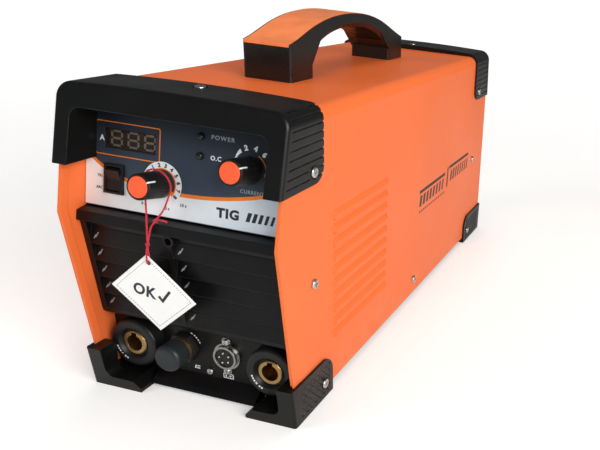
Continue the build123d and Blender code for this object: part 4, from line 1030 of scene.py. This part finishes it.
def light_studio():
    world = bpy.data.worlds.new("studio")
    world.use_nodes = True
    tree = world.node_tree
    background = tree.nodes["Background"]
    background.inputs["Color"].default_value = (1, 1, 1, 1)
    seen = tree.nodes.new("ShaderNodeLightPath").outputs["Is Camera Ray"]
    strength = tree.nodes.new("ShaderNodeMapRange")
    strength.inputs["To Min"].default_value = 0.13
    strength.inputs["To Max"].default_value = 1.0
    tree.links.new(seen, strength.inputs["Value"])
    tree.links.new(strength.outputs[0], background.inputs["Strength"])
    bpy.context.scene.world = world
    middle = (0, 0, 0.12)
    area_light("key", (1.5, -1.0, 0.95), middle, (1.2, 1.0), 33, (1.0, 0.97, 0.93))
    front = (0, -0.2, 0.12)
    for soft in (area_light("window", (-1.5, -1.3, 0.8), front, (0.8, 1.0), 15, (0.94, 0.97, 1.0)),
                 area_light("top", (0.1, 0.2, 1.9), middle, (1.2, 1.2), 11),
                 area_light("back", (-0.9, 1.6, 0.9), middle, (1.2, 0.9), 4)):
        soft.visible_glossy = False


LENS = 40.909
FRAME_SHIFT = -0.375                # the picture is cut from the left of a wider one
CAMERA_PLACE = (0.31081, -0.59761, 0.32628)
YAW, PITCH, ROLL = 10.963, 20.271, 5.719


def set_camera():
    """The camera at the photographed view. The frame's shift holds at this place only."""
    yaw, pitch, roll = (math.radians(angle) for angle in (YAW, PITCH, ROLL))
    right = Vector((math.cos(yaw), math.sin(yaw), 0))
    level = Vector((-math.sin(yaw), math.cos(yaw), 0))
    ahead = level * math.cos(pitch) - Vector((0, 0, math.sin(pitch)))
    up = right.cross(ahead)
    right, up = (right * math.cos(roll) + up * math.sin(roll),
                 up * math.cos(roll) - right * math.sin(roll))
    lens = bpy.data.cameras.new("camera")
    lens.lens = LENS
    lens.sensor_width = 36
    lens.clip_start = 0.01
    camera = bpy.data.objects.new("camera", lens)
    turn = Matrix((right, up, -ahead)).transposed().to_4x4()
    camera.matrix_world = Matrix.Translation(CAMERA_PLACE) @ turn
    bpy.context.scene.collection.objects.link(camera)
    bpy.context.scene.camera = camera
    driver = lens.driver_add("shift_x").driver
    driver.type = "SCRIPTED"
    side = driver.variables.new()
    side.name = "side"
    side.type = "TRANSFORMS"
    side.targets[0].id = camera
    side.targets[0].transform_type = "LOC_X"
    driver.expression = f"{FRAME_SHIFT} if abs(side - {CAMERA_PLACE[0]}) < 0.0001 else 0.0"


INKS = {name: ink(name, colour) for name, colour in (
    ("white_ink", WHITE_INK), ("orange_ink", ORANGE_INK),
    ("dark_ink", DARK_INK), ("grey_ink", GREY_INK))}

dress_cad_nodes()
print_panel(INKS)
pointer("crater_pointer", "crater_knob_turn", "crater_knob", INKS["white_ink"])
pointer("current_pointer", "current_knob_turn", "current_knob", INKS["white_ink"])
print_sockets(INKS["white_ink"])
print_wall(INKS["white_ink"])
slat_marks(INKS["grey_ink"])
print_sides(ink("side_ink", rgb(22, 16, 15)))
build_tag(INKS)
build_string()
cable_cores()
build_floor()
light_studio()
set_camera()
bpy.context.scene.view_settings.view_transform = "Standard"
